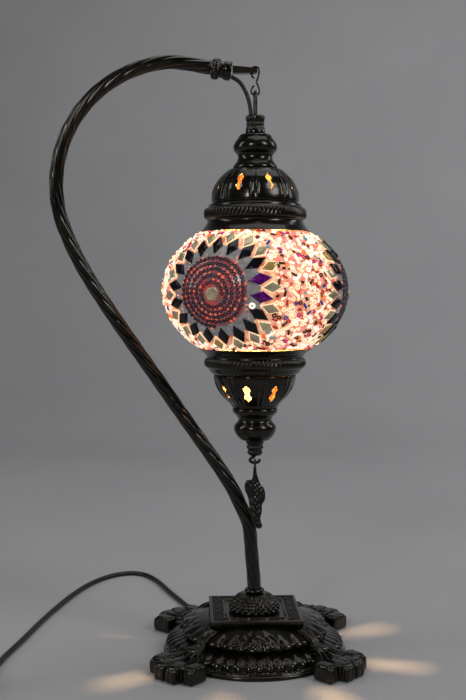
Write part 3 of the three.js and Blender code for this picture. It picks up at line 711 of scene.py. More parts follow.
def make_boss():
    boss = [
        (NECK_HOLE, 33.4), (18.8, 33.4), (20.4, 35), (20.2, 37.2), (19.2, 40.1), (17.4, 42.6),
        (14.6, 45.1), (10.8, 47.2), (NECK_HOLE, 48),
    ]
    casting("boss_casting", boss, "stand", "stem_boss", sides=264, relief=scales, radius=1.2, step=0.45)
    collar = [(NECK_HOLE, 48.3), (7.2, 48.3), (8.2, 49), (8.2, 50.4), (7.2, 51.2), (NECK_HOLE, 51.2)]
    casting("collar_ring", collar, "stand", "stem_collar", sides=64, radius=0.7)


def superellipsoid(centre, radii, power, sides, rings):
    """A rounded block: power 1 is an ellipsoid, less is squarer."""
    def shaped(value):
        return np.sign(value) * np.abs(value) ** power

    up = np.linspace(-math.pi / 2, math.pi / 2, rings)[:, None]
    round_ = np.linspace(0, TAU, sides, endpoint=False)[None, :]
    x = shaped(np.cos(up)) * shaped(np.cos(round_))
    y = shaped(np.cos(up)) * shaped(np.sin(round_))
    z = shaped(np.sin(up)) * np.ones_like(round_)
    points = np.stack([x, y, z], axis=-1).reshape(-1, 3) * np.asarray(radii) + np.asarray(centre)
    return points, facing_out(points, quads(rings, sides))


def strap_shapes():
    """A veined leaf strap that comes down over the drum to a rolled volute."""
    shapes = []
    middle = [(51.5, 0, 28.2), (56.5, 0, 25.6), (61.2, 0, 22), (64.6, 0, 18.6), (69, 0, 16.4)]
    spine = smooth_path(middle, 1.0)
    for k, p in enumerate(spine[::2]):
        half = 6.4 - 2.2 * math.sin(math.pi * k / (len(spine) / 2))
        shapes.append(superellipsoid(p - np.array([0.5, 0, 1.2]), (1.9, half, 1.7), 0.85, 16, 8))
    for y in (-4.4, -1.5, 1.5, 4.4):
        vein = spine + np.array([0.6, 0, 0.7])
        vein[:, 1] = y * (1 - 0.35 * np.sin(np.linspace(0, math.pi, len(spine))))
        shapes.append(tube(vein, 0.75, 8))
    turns = np.linspace(0, 2.2 * TAU, 50) - 1
    reach = np.linspace(4.0, 0.7, 50)
    for y in (-7.6, 7.6):
        spiral = np.column_stack([70 + reach * np.cos(turns), np.full(50, y), 14.4 + reach * np.sin(turns)])
        shapes.append(tube(spiral, 0.75, 7))
    shapes.append(superellipsoid((70, 0, 14.2), (4.6, 7.4, 4.4), 0.7, 24, 12))
    return shapes


def toe_reach(y):
    return 95.5 - 0.024 * y * y


def paw_shapes():
    """A widening foot, four toes with fluted fronts and the ridges that fan out over them."""
    shapes = []
    for share in np.linspace(0, 1, 14):
        half = 7.2 + 16.2 * share**0.85 - 2.4 * share**6
        top = 14.6 - 3.0 * math.sin(math.pi * share**0.7) - 1.3 * share
        centre = (70 + 24.5 * share, 0, top / 2 + 0.1)
        shapes.append(superellipsoid(centre, (2.6, half, top / 2), 0.45, 28, 10))
    for y in (-17.4, -5.9, 5.9, 17.4):
        reach = toe_reach(y)
        shapes.append(superellipsoid((reach - 1, y, 6.8), (8.6, 6.0, 6.8), 0.42, 28, 14))
        for flute in (-2.5, 2.5):
            shapes.append(superellipsoid((reach + 6.2, y * 1.03 + flute, 5.8), (3.0, 2.9, 5.8), 0.6, 16, 10))
    for y in (-23, -11.7, 0, 11.7, 23):
        ridge = [(69, y * 0.16, 18.3), (75, y * 0.34, 15.6), (82, y * 0.66, 13.2), (88, y * 0.9, 13.6)]
        path = smooth_path([*ridge, (toe_reach(y), y, 14.2)], 0.8)
        if abs(y) > 20:  # the outer ridges come down the paw's sides
            path[:, 2] -= 1.6 * np.linspace(0, 1, len(path))
        shapes.append(tube(path, 0.85, 8))
    return shapes


def leg_shape():
    """One leg along x, its shapes blended into one casting that stands on the table."""
    points, faces, caps = joined_shapes(strap_shapes() + paw_shapes())
    leg = make_object("leg_shape", points, faces, bronze, caps)
    remesh = leg.modifiers.new("blend", "REMESH")
    remesh.mode = "VOXEL"
    remesh.voxel_size = 0.42 * MM
    remesh.use_smooth_shade = True
    relax = leg.modifiers.new("relax", "SMOOTH")
    relax.iterations = 2
    applied(leg)
    places = np.empty(len(leg.data.vertices) * 3)
    leg.data.vertices.foreach_get("co", places)
    places = places.reshape(-1, 3)
    places[:, 2] = np.maximum(places[:, 2], 0.05 * MM)
    return leg, places


def make_legs():
    """Four castings, each a leaf strap, a rolled volute and a four-toed paw."""
    leg, places = leg_shape()
    x, y, z = places.T
    for degrees, where in ((45, "rear_right"), (135, "rear_left"), (225, "front_left"), (315, "front_right")):
        turn = math.radians(degrees)
        c, s = math.cos(turn), math.sin(turn)
        mesh = leg.data.copy()
        mesh.vertices.foreach_set("co", np.column_stack([x * c - y * s, x * s + y * c, z]).ravel())
        mesh.materials.clear()
        mesh.materials.append(bronze)
        obj = bpy.data.objects.new(f"leg_casting_{where}", mesh)
        bpy.context.collection.objects.link(obj)
        finish_piece(obj, "stand", "dark_bronze", f"paw_leg_{where}")
    bpy.data.objects.remove(leg)


def felt_edge(angle, r, z):
    return 0.25 * np.sin(37 * angle) * (r > 60)


def make_felt():
    profile = [(0, 0.02), (69, 0.02), (69.2, 1.2), (69, 2.5), (0, 2.5)]
    turned_piece("felt_pad", profile, felt_green, "stand", "felt", "base_felt", sides=144, relief=felt_edge,
                 closed=False, radius=0.4, step=6)


make_lower_drum()
make_upper_drum()
make_plate()
make_boss()
make_legs()
bevelled("base_washer", zinc, 0.2)
bevelled("base_nut", zinc, 0.4)
make_felt()


# ------------------------------------------------------------------ neck and hooks
LEAN_TOP = -12
BOW_CENTRE = (-61.2, 379)
BOW_RADIUS = 97.5


def lean(z):
    return LEAN_TOP * (max(0, z - 48) / (477 - 48)) ** 2


def neck_path():
    rise = [
        (0, 7.6), (0, 30), (0, 50), (-2.2, 79), (-5, 105), (-11.2, 119.6), (-19.8, 137.3),
        (-70.3, 211.7), (-122.5, 288.2), (-139, 315.6),
    ]
    for degrees in range(206, 80, -14):
        turn = math.radians(degrees)
        x, z = BOW_CENTRE
        rise.append((x + BOW_RADIUS * math.cos(turn), z + BOW_RADIUS * math.sin(turn)))
    rise.append((-35.6, 472.2))
    return smooth_path([(x, lean(z), z) for x, z in rise], 1.6)


def neck_strands(angle, along):
    """Radius of a rope of eight strands that turn once round in 150 mm."""
    turn = 8 * angle + along * TAU * 8 / 150
    return 4.85 + 0.8 * np.abs(np.cos(turn / 2)) ** 0.8


def ferrule_ribs(angle, r, z):
    return 0.5 * np.abs(np.sin(13 * angle)) * (z > 0.8) * (z < 6.6) * (r > 6)


def make_ferrule():
    """The ribbed end piece of the neck, turned about its own axis and tilted down to the tongue."""
    profile = [
        (0, 0), (6.4, 0), (7.4, 0.9), (7.9, 2.4), (7.9, 4.4), (7.2, 6.2), (6.4, 7), (6.4, 9.6), (7.4, 10.6),
        (7.7, 12), (7.7, 15), (7, 16), (0, 16),
    ]
    points, faces = turned(profile, 104, ferrule_ribs, closed=False, radius=0.4, step=0.5)
    tilt = math.radians(9)
    x, y, z = points.T
    forward = np.array([math.cos(tilt), 0, -math.sin(tilt)])
    down = np.array([-math.sin(tilt), 0, -math.cos(tilt)])
    points = np.array([-35.3, lean(471.9), 471.9]) + z[:, None] * forward + x[:, None] * down
    points = points + y[:, None] * np.array([0, 1, 0])
    obj = weld(make_object("ferrule_casting", points, facing_out(points, faces), bronze))
    finish_piece(obj, "stand", "dark_bronze", "neck_ferrule")


UPPER_EYE_Z, UPPER_EYE_RADIUS = 470.1, 3.1
LOWER_EYE_Z, LOWER_EYE_RADIUS = 454.1, 3.3
HOOK_WIRE, LOOP_ROD = 0.75, 1.45
FLEX_SIDES = 18


def arc(centre_z, radius, start, end, steps):
    angles = np.radians(np.linspace(start, end, steps + 1))
    return [(SHADE[0] + radius * math.cos(a), SHADE[1], centre_z + radius * math.sin(a)) for a in angles]


def make_hook():
    """The open S-hook: an eye over the tongue and an eye under the loop."""
    x, y = SHADE[:2]
    path = [
        (x - 0.9, y, 463.9), (x - 2.7, y, 465.9), *arc(UPPER_EYE_Z, UPPER_EYE_RADIUS, 196, -16, 8),
        (x + 2.1, y, 464.6), (x + 1, y, 461.4), (x + 2.2, y, 458.4),
        *arc(LOWER_EYE_Z, LOWER_EYE_RADIUS, 16, -196, 8), (x - 2, y, 457.3), (x - 0.8, y, 458.2),
    ]
    bronze_tube("hook_wire", smooth_path(path, 0.5), HOOK_WIRE, "hook", "s_hook", 14)


def make_loop():
    """The tall loop that the shade hangs by, its legs one behind the other."""
    x, y = SHADE[:2]
    half = 3.4
    top = LOWER_EYE_Z - LOWER_EYE_RADIUS + HOOK_WIRE + 0.3 + LOOP_ROD
    path = [(x, y - half, 435.1), (x, y - half, 442)]
    for degrees in range(180, -1, -30):
        turn = math.radians(degrees)
        path.append((x, y + half * math.cos(turn), top - half + half * math.sin(turn)))
    path += [(x, y + half, 442), (x, y + half, 435.1)]
    bronze_tube("loop_rod", smooth_path(path, 0.7), LOOP_ROD, "shade", "shade_loop", 18)


def flex_radius(angle, along):
    return 1.25 + 0.35 * np.abs(np.cos(angle))


def make_flex():
    """Two-core lead from the ferrule to the spindle, in two pieces that meet half way."""
    x, y = SHADE[:2]
    path = [(-19.5, y, 465.1), (-13.1, y, 461.2), (-8.1, y, 453.4), (-5, y, 444), (x - 3.4, y, 435.1)]
    path = smooth_path(path, 0.8)
    middle, last = len(path) // 2, len(path) - 1
    rings = tube(path, flex_radius, FLEX_SIDES)[0].reshape(-1, FLEX_SIDES, 3)
    halves = (("flex_upper", 0, middle, "stand", "hook"), ("flex_lower", middle, last, "hook", "shade"))
    for name, start, end, upper, lower in halves:
        points = rings[start : end + 1].reshape(-1, 3)
        faces, caps = capped(points, end + 1 - start, FLEX_SIDES)
        obj = make_object(name, points, faces, lead_pvc, caps)
        for cap in obj.data.polygons[-2:]:
            cap.use_smooth = False
        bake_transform(obj)
        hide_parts("shade_flex")


bronze_tube("neck_casting", neck_path(), neck_strands, "stand", "swan_neck", 72)
make_ferrule()
bevelled("hook_tongue", bronze, 0.8)
make_hook()
make_loop()
make_flex()


# ------------------------------------------------------------------ caps of the shade
TUBE_BORE, STUD_BORE = 5.3, 2.8  # radius of the hole for the hanger tube and for the lower stud
PENDANT_HOOK_Z = 153.2  # middle of the wire at the bottom of the pendant's hook
PENDANT_WIRE = 1.25


def rope(z_low, z_high, amount):
    """Slanted notches round a ring between two heights, seventy-four of them."""
    def relief(angle, r, z):
        across = np.clip((z - z_low) / (z_high - z_low), 0, 1)
        strand = np.abs(np.sin(37 * angle - 2.7 * across)) ** 0.6 - 0.55
        return (r > 38.5) * amount * strand * np.sin(math.pi * across) ** 0.5
    return relief


def rib_pairs(phase, z_middle, z_reach, inner_r):
    """Eight panels: a pair of fine ribs with a groove between them, half way between the windows."""
    def relief(angle, r, z):
        away = np.abs((angle - math.radians(phase)) % (TAU / 8) - TAU / 16)
        ribs = bell(away, 0.075, 0.03) - 0.6 * bell(away, 0, 0.035)
        hollow = bell(away, TAU / 16, 0.2)
        return (r > inner_r) * bell(z, z_middle, z_reach) * (0.85 * ribs - 0.5 * hollow)
    return relief


def inside_raw(obj, start_r):
    """The side that faces the lamp inside keeps its raw metal."""
    obj.data.materials.append(raw_brass)
    for face in obj.data.polygons:
        out = Vector((face.center.x - SHADE[0] * MM, face.center.y - SHADE[1] * MM, 0))
        if out.length > start_r * MM and face.normal.dot(out.normalized()) < -0.25:
            face.material_index = 1


def window_cutters(z, height, width, phase):
    """Eight window prisms: two lozenges, one above the other, that share a waist."""
    waist = 0.28 * width
    half = [(waist, 0), (width / 2, height / 4), (0, height / 2), (-width / 2, height / 4), (-waist, 0)]
    outline = np.array(half + [(-a, -b) for a, b in half[1:-1]])
    shapes = []
    for i in range(8):
        turn = math.radians(phase + 45 * i)
        out = np.array([math.cos(turn), math.sin(turn), 0])
        side = np.array([-math.sin(turn), math.cos(turn), 0])
        points = np.array([
            SHADE + (0, 0, z + b) + side * a + out * distance for distance in (12, 52) for a, b in outline
        ])
        shapes.append((points, *capped(points, 2, len(outline))))
    points, faces, caps = joined_shapes(shapes)
    return make_object("windows", points, faces, bronze, caps)


def cap_shell(name, profile, node, raw_from, windows=None, **shape):
    """A bronze shell of a cap, pierced by its windows, with raw metal inside beyond the radius raw_from."""
    points, faces = turned(profile, centre=SHADE, **shape)
    obj = make_object(name, points, faces, bronze)
    if windows:
        cut_with(obj, windows)
    inside_raw(obj, raw_from)
    finish_piece(obj, "shade", "dark_bronze", node)


def spindle_notches(angle, r, z):
    rings = bell(z, 420.6, 1.1) + bell(z, 424, 1.1) + 0.5 * bell(z, 428.6, 1.2)
    return 0.75 * rings * (np.abs(np.sin(9 * angle)) - 0.5) * (r > 6)


def make_upper_cap():
    spindle = [
        (TUBE_BORE, 416), (7.5, 416), (8, 416.8), (7.9, 418.4), (7.3, 419.6), (7.2, 421.4), (6.7, 422.4),
        (7, 423.6), (6.7, 425), (7.2, 426.2), (7.5, 427.2), (7.5, 429.8), (6.7, 430.8), (0.8, 430.8),
        (0.8, 427), (TUBE_BORE, 427),
    ]
    casting("spindle_casting", spindle, "shade", "top_spindle", SHADE, sides=108, relief=spindle_notches,
            radius=0.4, step=0.6)
    finial = [
        (TUBE_BORE, 388.3), (17.6, 388.3), (18, 389.6), (17, 391.6), (14.4, 395), (13.6, 397.6), (14.2, 400),
        (16, 401.6), (17.3, 403.4), (17.7, 405.6), (17.2, 408), (15.6, 410.6), (13.6, 413), (12.4, 415.6),
        (TUBE_BORE, 415.6),
    ]
    casting("upper_finial_casting", finial, "shade", "upper_finial", SHADE, sides=96, radius=1.2, step=1.2)
    dome = [
        (32.3, 360.9), (34, 360.9), (34.6, 363), (34.4, 366.2), (33.6, 370.4), (31.8, 375), (29, 380),
        (24.9, 385), (21.2, 388), (TUBE_BORE, 388), (TUBE_BORE, 386.4), (19.6, 386.4), (23.4, 383),
        (27.2, 378.6), (30.2, 373.6), (32.2, 368.4), (32.8, 364),
    ]
    cap_shell("upper_dome_casting", dome, "upper_dome", 8, window_cutters(376, 14.5, 6.2, 18),
              sides=384, relief=rib_pairs(18, 374, 10, 19), radius=0.6, step=1.1)
    gallery = [
        (43.1, 338.2), (44.7, 338.2), (42.6, 340), (40.4, 342.6), (38.6, 345.4), (38, 347), (39, 348.2),
        (40.3, 349.6), (40.5, 352.8), (40.3, 356), (39, 357.4), (37.4, 358), (37.2, 359.6), (36, 360.6),
        (31.6, 360.6), (31.4, 363), (29, 363), (29, 357), (36, 356.4), (36.2, 346), (38.8, 341.9),
    ]
    cap_shell("upper_gallery_casting", gallery, "upper_gallery", 8,
              sides=592, relief=rope(348.6, 357, 1.3), radius=0.6, step=0.8)


def nozzle_beading(angle, r, z):
    rows = bell(z, 161.6, 0.9) + bell(z, 166, 1.0)
    return 0.55 * rows * (np.abs(np.sin(9 * angle)) - 0.4) * (r > 4)


def make_lower_cap():
    gallery = [
        (27, 222.6), (29.2, 222.6), (29.6, 224.9), (33.1, 224.9), (35.4, 226.2), (36.8, 228.2), (38, 230),
        (39.6, 231.4), (40.3, 233), (40.3, 236), (39.4, 237.8), (38.6, 239), (39.6, 240.6), (42, 243),
        (45.9, 245.8), (44.3, 245.8), (39.6, 242.6), (36.4, 238.6), (36.4, 233.4), (33, 228), (27, 228),
    ]
    cap_shell("lower_gallery_casting", gallery, "lower_gallery", 8,
              sides=592, relief=rope(230.6, 238, 1.3), radius=0.6, step=0.8)
    bowl = [
        (STUD_BORE, 198.3), (18.3, 198.3), (19.4, 200.6), (22.4, 203.8), (26, 207.8), (29, 212),
        (31.6, 217.4), (33, 222), (33.1, 224.6), (31.5, 224.6), (30, 217.6), (27.4, 212.6), (24.4, 208.8),
        (20.6, 204.6),
        (17.8, 200.8), (17, 200), (STUD_BORE, 200),
    ]
    cap_shell("lower_bowl_casting", bowl, "lower_bowl", 4, window_cutters(211.2, 14, 6.6, 28.5),
              sides=384, relief=rib_pairs(28.5, 212, 10, 17.6), radius=0.5, step=1.1)
    finial = [
        (STUD_BORE, 171.7), (11.2, 171.7), (13.2, 173.4), (15.4, 176), (16.8, 179), (17.2, 181.6),
        (16.6, 184), (14.8, 186), (13.3, 187.6), (13.6, 189.4), (15.2, 191.6), (17.6, 194), (18.3, 195.8),
        (18, 198),
        (STUD_BORE, 198),
    ]
    casting("lower_finial_casting", finial, "shade", "lower_finial", SHADE, sides=96, radius=1.0, step=1.2)
    nozzle = [
        (0, 159.2), (4.4, 159.2), (5.2, 159.8), (6, 161.6), (5.6, 163.4), (6.7, 165.8), (6.2, 167.6),
        (6.7, 168.6), (7.4, 169.6), (7.4, 171.4), (STUD_BORE, 171.4), (STUD_BORE, 167), (0, 167),
    ]
    casting("nozzle_casting", nozzle, "shade", "lower_nozzle", SHADE, sides=108, relief=nozzle_beading,
            closed=False, radius=0.4, step=0.4)


def make_pendant_hook():
    z = PENDANT_HOOK_Z
    path = [
        (-0.6, 0, 158.8), (-0.7, 0, 158), (-3.1, 0, z + 3.7), (-4, 0, z + 2), (-2.7, 0, z + 0.5), (0, 0, z),
        (2.8, 0, z + 0.6), (4.1, 0, z + 2.7),
    ]
    path = smooth_path(path, 0.4) + SHADE
    bronze_tube("pendant_hook_wire", path, PENDANT_WIRE, "shade", "pendant_hook", 16)


def leaf_outline():
    """Left and right edges of the leaf at even heights from its top down."""
    right = [
        (1.2, 149.9), (1.5, 144.6), (3.4, 138.6), (4.8, 135.2), (7.2, 132.4), (8.3, 128), (8, 122.6),
        (5.9, 119.2), (5.6, 113), (4.5, 107.6), (5.2, 104), (6.1, 101.4), (4.6, 99.6),
    ]
    left = [
        (-1.2, 149.9), (-1.5, 144.6), (-2.8, 139.2), (-6.4, 139), (-8.1, 136), (-8, 130.6), (-6.2, 126.6),
        (-5, 122), (-4, 114.4), (-2.2, 107.6), (-0.6, 102.6), (1.8, 99.6),
    ]
    heights = np.linspace(149.9, 99.6, 110)
    edges = []
    for side in (left, right):
        curve = smooth_path([(x, 0, z) for x, z in side], 0.7)[::-1]
        edges.append(np.interp(heights, curve[:, 2], curve[:, 0]))
    return heights, *edges


def leaf_sheet():
    """A cushioned leaf with a raised mid-rib and side veins, the same on both sides."""
    heights, left, right = leaf_outline()
    rows, cols = len(heights), 33
    share = np.linspace(0, 1, cols)[None, :]
    x = left[:, None] * (1 - share) + right[:, None] * share
    z = np.broadcast_to(heights[:, None], x.shape)
    rim = np.minimum(share, 1 - share)
    cushion = 2.3 * np.clip(rim / 0.16, 0, 1) ** 0.5
    broad = (right - left)[:, None] > 6
    vein = np.cos(TAU * (z * 0.2 + np.abs(share - 0.5) * 1.6)) * np.cos(TAU * x / 3.4) * broad
    depth = np.minimum(2.5, cushion * 0.66 + 0.55 * vein * (rim > 0.06) + 0.4 * bell(share, 0.5, 0.06))
    depth = np.where((share == 0) | (share == 1), 0.6, np.maximum(depth, 0.6))
    ends = (heights < 100.4) | (heights > 149)
    depth[ends] = np.minimum(depth[ends], 1.1)
    front, back = (np.stack([x, way * depth, z], axis=-1).reshape(-1, 3) for way in (-1, 1))
    faces = quads(rows, cols, close_cols=False)
    border = border_of(np.arange(rows * cols).reshape(rows, cols))
    following = np.roll(border, -1)
    edge = np.column_stack([border, following, following + len(front), border + len(front)])
    return np.vstack([front, back]), np.vstack([faces, faces[:, ::-1] + len(front), edge])


def pendant_ring():
    """The ring at the leaf's top, hanging on the hook's wire."""
    radius, wire = 2.6, 0.8
    centre_z = PENDANT_HOOK_Z + PENDANT_WIRE + 0.3 + wire - radius
    turn = np.linspace(0, TAU, 49)[:-1]
    small = np.linspace(0, TAU, 13)[:-1]
    away = np.column_stack([np.zeros(48), np.cos(turn), np.sin(turn)])
    section = np.cos(small)[None, :, None] * away[:, None]
    section = section + np.sin(small)[None, :, None] * np.array([1.0, 0, 0])
    points = radius * away[:, None] + wire * section + np.array([0, 0, centre_z])
    return points.reshape(-1, 3), quads(48, 12, close_rows=True)


def make_pendant():
    """Cast leaf on its ring."""
    points, faces, _ = joined_shapes([leaf_sheet(), pendant_ring()])
    obj = make_object("pendant_leaf", points + SHADE, faces, bronze)
    recalculated(obj)
    finish_piece(obj, "pendant", "dark_bronze", "pendant")


make_upper_cap()
make_lower_cap()
make_pendant_hook()
make_pendant()


# ------------------------------------------------------------------ lamp inside
def thread(pitch, depth, low, high):
    """Relief of a screw thread between two heights."""
    def relief(angle, r, z):
        return depth * np.sin(TAU * z / pitch - angle) * (z > low) * (z < high) * (r > 2)
    return relief


def holder_ribs(angle, r, z):
    return 0.35 * np.sign(np.sin(15 * angle)) * (z > 314) * (z < 332) * (r > 13)


def make_inside():
    tube_profile = [(3, 343), (4.8, 343), (4.8, 419), (3, 419)]
    turned_piece("hanger_tube_thread", tube_profile, zinc, "shade", "zinc_steel", "hanger_tube", SHADE,
                 sides=32, relief=thread(1.5, 0.2, 344, 418), radius=0.3, step=0.5)
    stud = [(0, 167.5), (2.3, 167.5), (2.3, 236), (0, 236)]
    turned_piece("lower_stud_thread", stud, zinc, "shade", "zinc_steel", "lower_stud", SHADE,
                 sides=24, relief=thread(1.2, 0.18, 168, 235.5), closed=False, radius=0.3, step=0.4)
    holder = [
        (7.7, 311), (13.2, 311), (14, 312.6), (14, 334), (12.6, 338), (12.6, 346), (9.4, 350.2),
        (TUBE_BORE, 350.2), (TUBE_BORE, 341), (7.7, 341),
    ]
    turned_piece("lamp_holder_shell", holder, black_plastic, "shade", "black_plastic", "lamp_holder", SHADE,
                 sides=120, relief=holder_ribs, radius=0.6, step=1.5)
    cap = [(0, 331), (2.6, 331), (4.6, 329), (6.8, 327.5), (6.8, 308), (6.2, 306.3), (0, 306.3)]
    turned_piece("bulb_cap_thread", cap, pin_brass, "shade", "pin_brass", "bulb_cap", SHADE,
                 sides=48, relief=thread(3.6, 0.35, 310, 326), closed=False, radius=0.4, step=0.5)
    envelope = [
        (0, 306), (6.3, 306), (9.2, 303.5), (16.4, 298.5), (20.8, 291.6), (22, 284), (20.3, 275.5),
        (15.6, 268.4), (8.4, 263.6), (0, 262),
    ]
    bulb = turned_piece("bulb_envelope", envelope, bulb_white, "shade", "bulb", "bulb_glass", SHADE,
                        sides=64, closed=False, radius=3)
    bulb.visible_shadow = False
    for node in ("upper_bar", "lower_bar", "tube_nut", "stud_nut"):
        bevelled(node, zinc, 0.4)
    for node in ("base_lead", "neck_lead", "shade_lead"):
        bevelled(node, lead_pvc, 0.2)


make_inside()


# ------------------------------------------------------------------ mosaic globe
GLOBE_Z = 292
HALF_HEIGHT = 45.8
EQUATOR, POLE = 72.9, 56.2  # ellipse of the mosaic's inner side


# Painted glow: each mosaic glass, tile and grout made here gives off light in its own colour, in place of the
# bulb's light coming through the globe.
def painted_glow(name, dark, light, strength, scale=400, rough=(0.12, 0.25), **more):
    return mottled(name, dark, light, scale, rough, glow=strength, **more)


TILT_TABLE = np.linspace(-1.2, 1.2, 400)
ARC_TABLE = np.concatenate([[0], np.cumsum(np.hypot(
    np.diff(EQUATOR * np.cos(TILT_TABLE)), np.diff(POLE * np.sin(TILT_TABLE))))])
ARC_TABLE -= np.interp(0, TILT_TABLE, ARC_TABLE)


def on_globe(turn, rise, off=0.0):
    """Point, outward normal, east and up directions at an angle and an arc height above the equator."""
    tilt = np.interp(rise, ARC_TABLE, TILT_TABLE)
    r, z = EQUATOR * np.cos(tilt), POLE * np.sin(tilt)
    east = np.stack([-np.sin(turn), np.cos(turn), np.zeros_like(turn)], axis=-1)
    slope = np.stack([np.cos(tilt) / EQUATOR, np.sin(tilt) / POLE], axis=-1)
    slope /= np.linalg.norm(slope, axis=-1)[..., None]
    normal = np.stack([slope[..., 0] * np.cos(turn), slope[..., 0] * np.sin(turn), slope[..., 1]], axis=-1)
    point = np.stack([r * np.cos(turn), r * np.sin(turn), GLOBE_Z + z], axis=-1) + SHADE
    return point + normal * np.asarray(off)[..., None], normal, east, np.cross(normal, east)


def round_medallion(middle_turn, u, v, off):
    """Place a point given by flat distances u east and v up from a medallion's middle."""
    tilt = np.interp(v, ARC_TABLE, TILT_TABLE)
    return on_globe(middle_turn + np.asarray(u) / (EQUATOR * np.cos(tilt)), np.asarray(v, float), off)


def stamp(template, faces, places, spins, sizes):
    """Copies a small shape to many places; spins turn it in the surface, sizes scale it."""
    point, normal, east, up = places
    c, s = np.cos(spins)[:, None], np.sin(spins)[:, None]
    axes = np.stack([east * c + up * s, up * c - east * s, normal], axis=1)
    local = template[None] * sizes[:, None, :]
    points = point[:, None] + local @ axes
    starts = np.arange(len(point)) * len(template)
    all_faces = faces[None] + starts[:, None, None]
    return points.reshape(-1, 3), all_faces.reshape(-1, faces.shape[1])


def picked(places, mask):
    return tuple(part[mask] for part in places)


def ring_bead(hole, sides=10, section=6):
    """A seed bead of outer radius 1 lying on its side, hole upward."""
    a = np.linspace(0, TAU, sides, endpoint=False)[:, None]
    b = np.linspace(0, TAU, section, endpoint=False)[None, :]
    thick = (1 - hole) / 2
    r = hole + thick + thick * np.cos(b)
    height = 0.42 + 0.42 * np.sin(b) * np.ones_like(a)
    points = np.stack([r * np.cos(a), r * np.sin(a), height], axis=-1).reshape(-1, 3)
    return points, facing_out(points, quads(sides, section, close_rows=True))


def standing_bead():
    """A seed bead seen from its side, with the hole along the surface."""
    points, faces = ring_bead(0.36)
    points = np.column_stack([points[:, 2] - 0.42, points[:, 1], points[:, 0] * 0.9 + 0.8])
    return points, facing_out(points, faces)


def bugle_bead():
    """A short glass tube along x, of length 2 and radius 1, lying on the surface."""
    section = [(0.4, -1), (0.9, -1), (1, -0.9), (1, 0.9), (0.9, 1), (0.4, 1)]
    points, faces = turned(section, 8, radius=0)
    points = np.column_stack([points[:, 2], points[:, 0], points[:, 1] + 1])
    return points, facing_out(points, faces)


def tile(corners):
    """A cut tile: flat top with ground edges."""
    corners = np.asarray(corners, float)
    count = len(corners)
    rings = []
    for size, z in ((1, -0.6), (1, 1.0), (0.936, 1.5), (0.84, 1.7)):
        rings.append(np.column_stack([corners * size, np.full(count, z)]))
    points = np.vstack([*rings, [[0, 0, 1.7]], [[0, 0, -0.6]]])
    top, bottom = 4 * count, 4 * count + 1
    faces = quads(4, count).tolist()
    for k in range(count):
        following = (k + 1) % count
        faces.append([3 * count + k, 3 * count + following, top, top])
        faces.append([following, k, bottom, bottom])
    return points, np.array(faces)


def add_beads(name, material, parts):
    """One object of all the beads or tiles that share a glass."""
    points, faces, _ = joined_shapes(parts)
    polygons = [list(dict.fromkeys(face)) for face in faces.tolist()]
    obj = make_object(name, points, polygons, material)
    finish_piece(obj, "shade", "mosaic", "mosaic_layer")


MEDALLIONS = [math.radians(a) for a in (240.3, 356.0, 120)]
MEDALLION_RISE = -0.7
DISC_RADIUS = 28.5
BEAD_PITCH, ROW_PITCH = 3.45, 4.3  # along the spiral of beads and from turn to turn
STAR_RADIUS = 47
DIAMONDS = 18
DIAMOND_PHASE = math.radians(-6.5)
CENTRE_SHIFT = np.array([1.8, -3.2])  # the spiral winds in to a mirror set low in the disc

# Painted glow on the mosaic: these glasses, tiles and grouts give off light of their own, standing in for the
# bulb's light coming through.
cream_glass = painted_glow("bead_cream", (1.0, 0.7, 0.42), (1.0, 0.88, 0.66), 0.68)
white_glass = painted_glow("bead_white", (1.0, 0.78, 0.6), (1.0, 0.94, 0.86), 0.8)
pink_glass = painted_glow("bead_pink", (0.8, 0.2, 0.2), (1.0, 0.42, 0.4), 0.5)
magenta_glass = painted_glow("bead_magenta", (0.35, 0.01, 0.1), (0.7, 0.05, 0.28), 0.45)
orange_glass = painted_glow("bead_orange", (0.75, 0.1, 0.01), (1.0, 0.3, 0.04), 0.6)
red_glass = painted_glow("bead_red", (0.3, 0.012, 0.01), (0.6, 0.05, 0.03), 0.4)
brown_glass = painted_glow("bead_brown", (0.03, 0.006, 0.005), (0.12, 0.02, 0.015), 0.2)
blue_glass = painted_glow("bead_blue", (0.01, 0.015, 0.2), (0.04, 0.07, 0.4), 0.3)
teal_glass = painted_glow("bead_teal", (0.03, 0.2, 0.24), (0.15, 0.45, 0.45), 0.4)
dark_glass = mottled("bead_black", (0.003, 0.003, 0.008), (0.05, 0.02, 0.06), 260, (0.06, 0.16), coat=0.6)
ember_glass = painted_glow("bead_ember", (0.7, 0.07, 0.03), (1.0, 0.26, 0.1), 0.7)
black_tile = mottled("tile_black", (0.003, 0.003, 0.004), (0.012, 0.009, 0.015), 200, (0.05, 0.12),
                     specular=0.35)
purple_tile = painted_glow("tile_purple", (0.03, 0.0, 0.05), (0.12, 0.005, 0.15), 0.35)
champagne_tile = painted_glow("tile_champagne", (0.24, 0.2, 0.12), (0.55, 0.46, 0.3), 0.26, scale=90, metallic=0.5)
gold_tile = painted_glow("tile_gold", (0.25, 0.15, 0.035), (0.42, 0.28, 0.09), 0.4, scale=90, metallic=0.5)
salmon_grout = painted_glow("grout_salmon", (0.6, 0.09, 0.03), (1.0, 0.6, 0.36), 0.58, scale=170)
cream_grout = painted_glow("grout_cream", (1.0, 0.62, 0.34), (1.0, 0.85, 0.58), 0.7, scale=260)
ember_grout = painted_glow("grout_ember", (0.1, 0.085, 0.1), (0.5, 0.05, 0.04), 0.42, scale=130)
grey_grout = painted_glow("grout_grey", (0.15, 0.145, 0.15), (0.3, 0.28, 0.27), 0.35, scale=200)

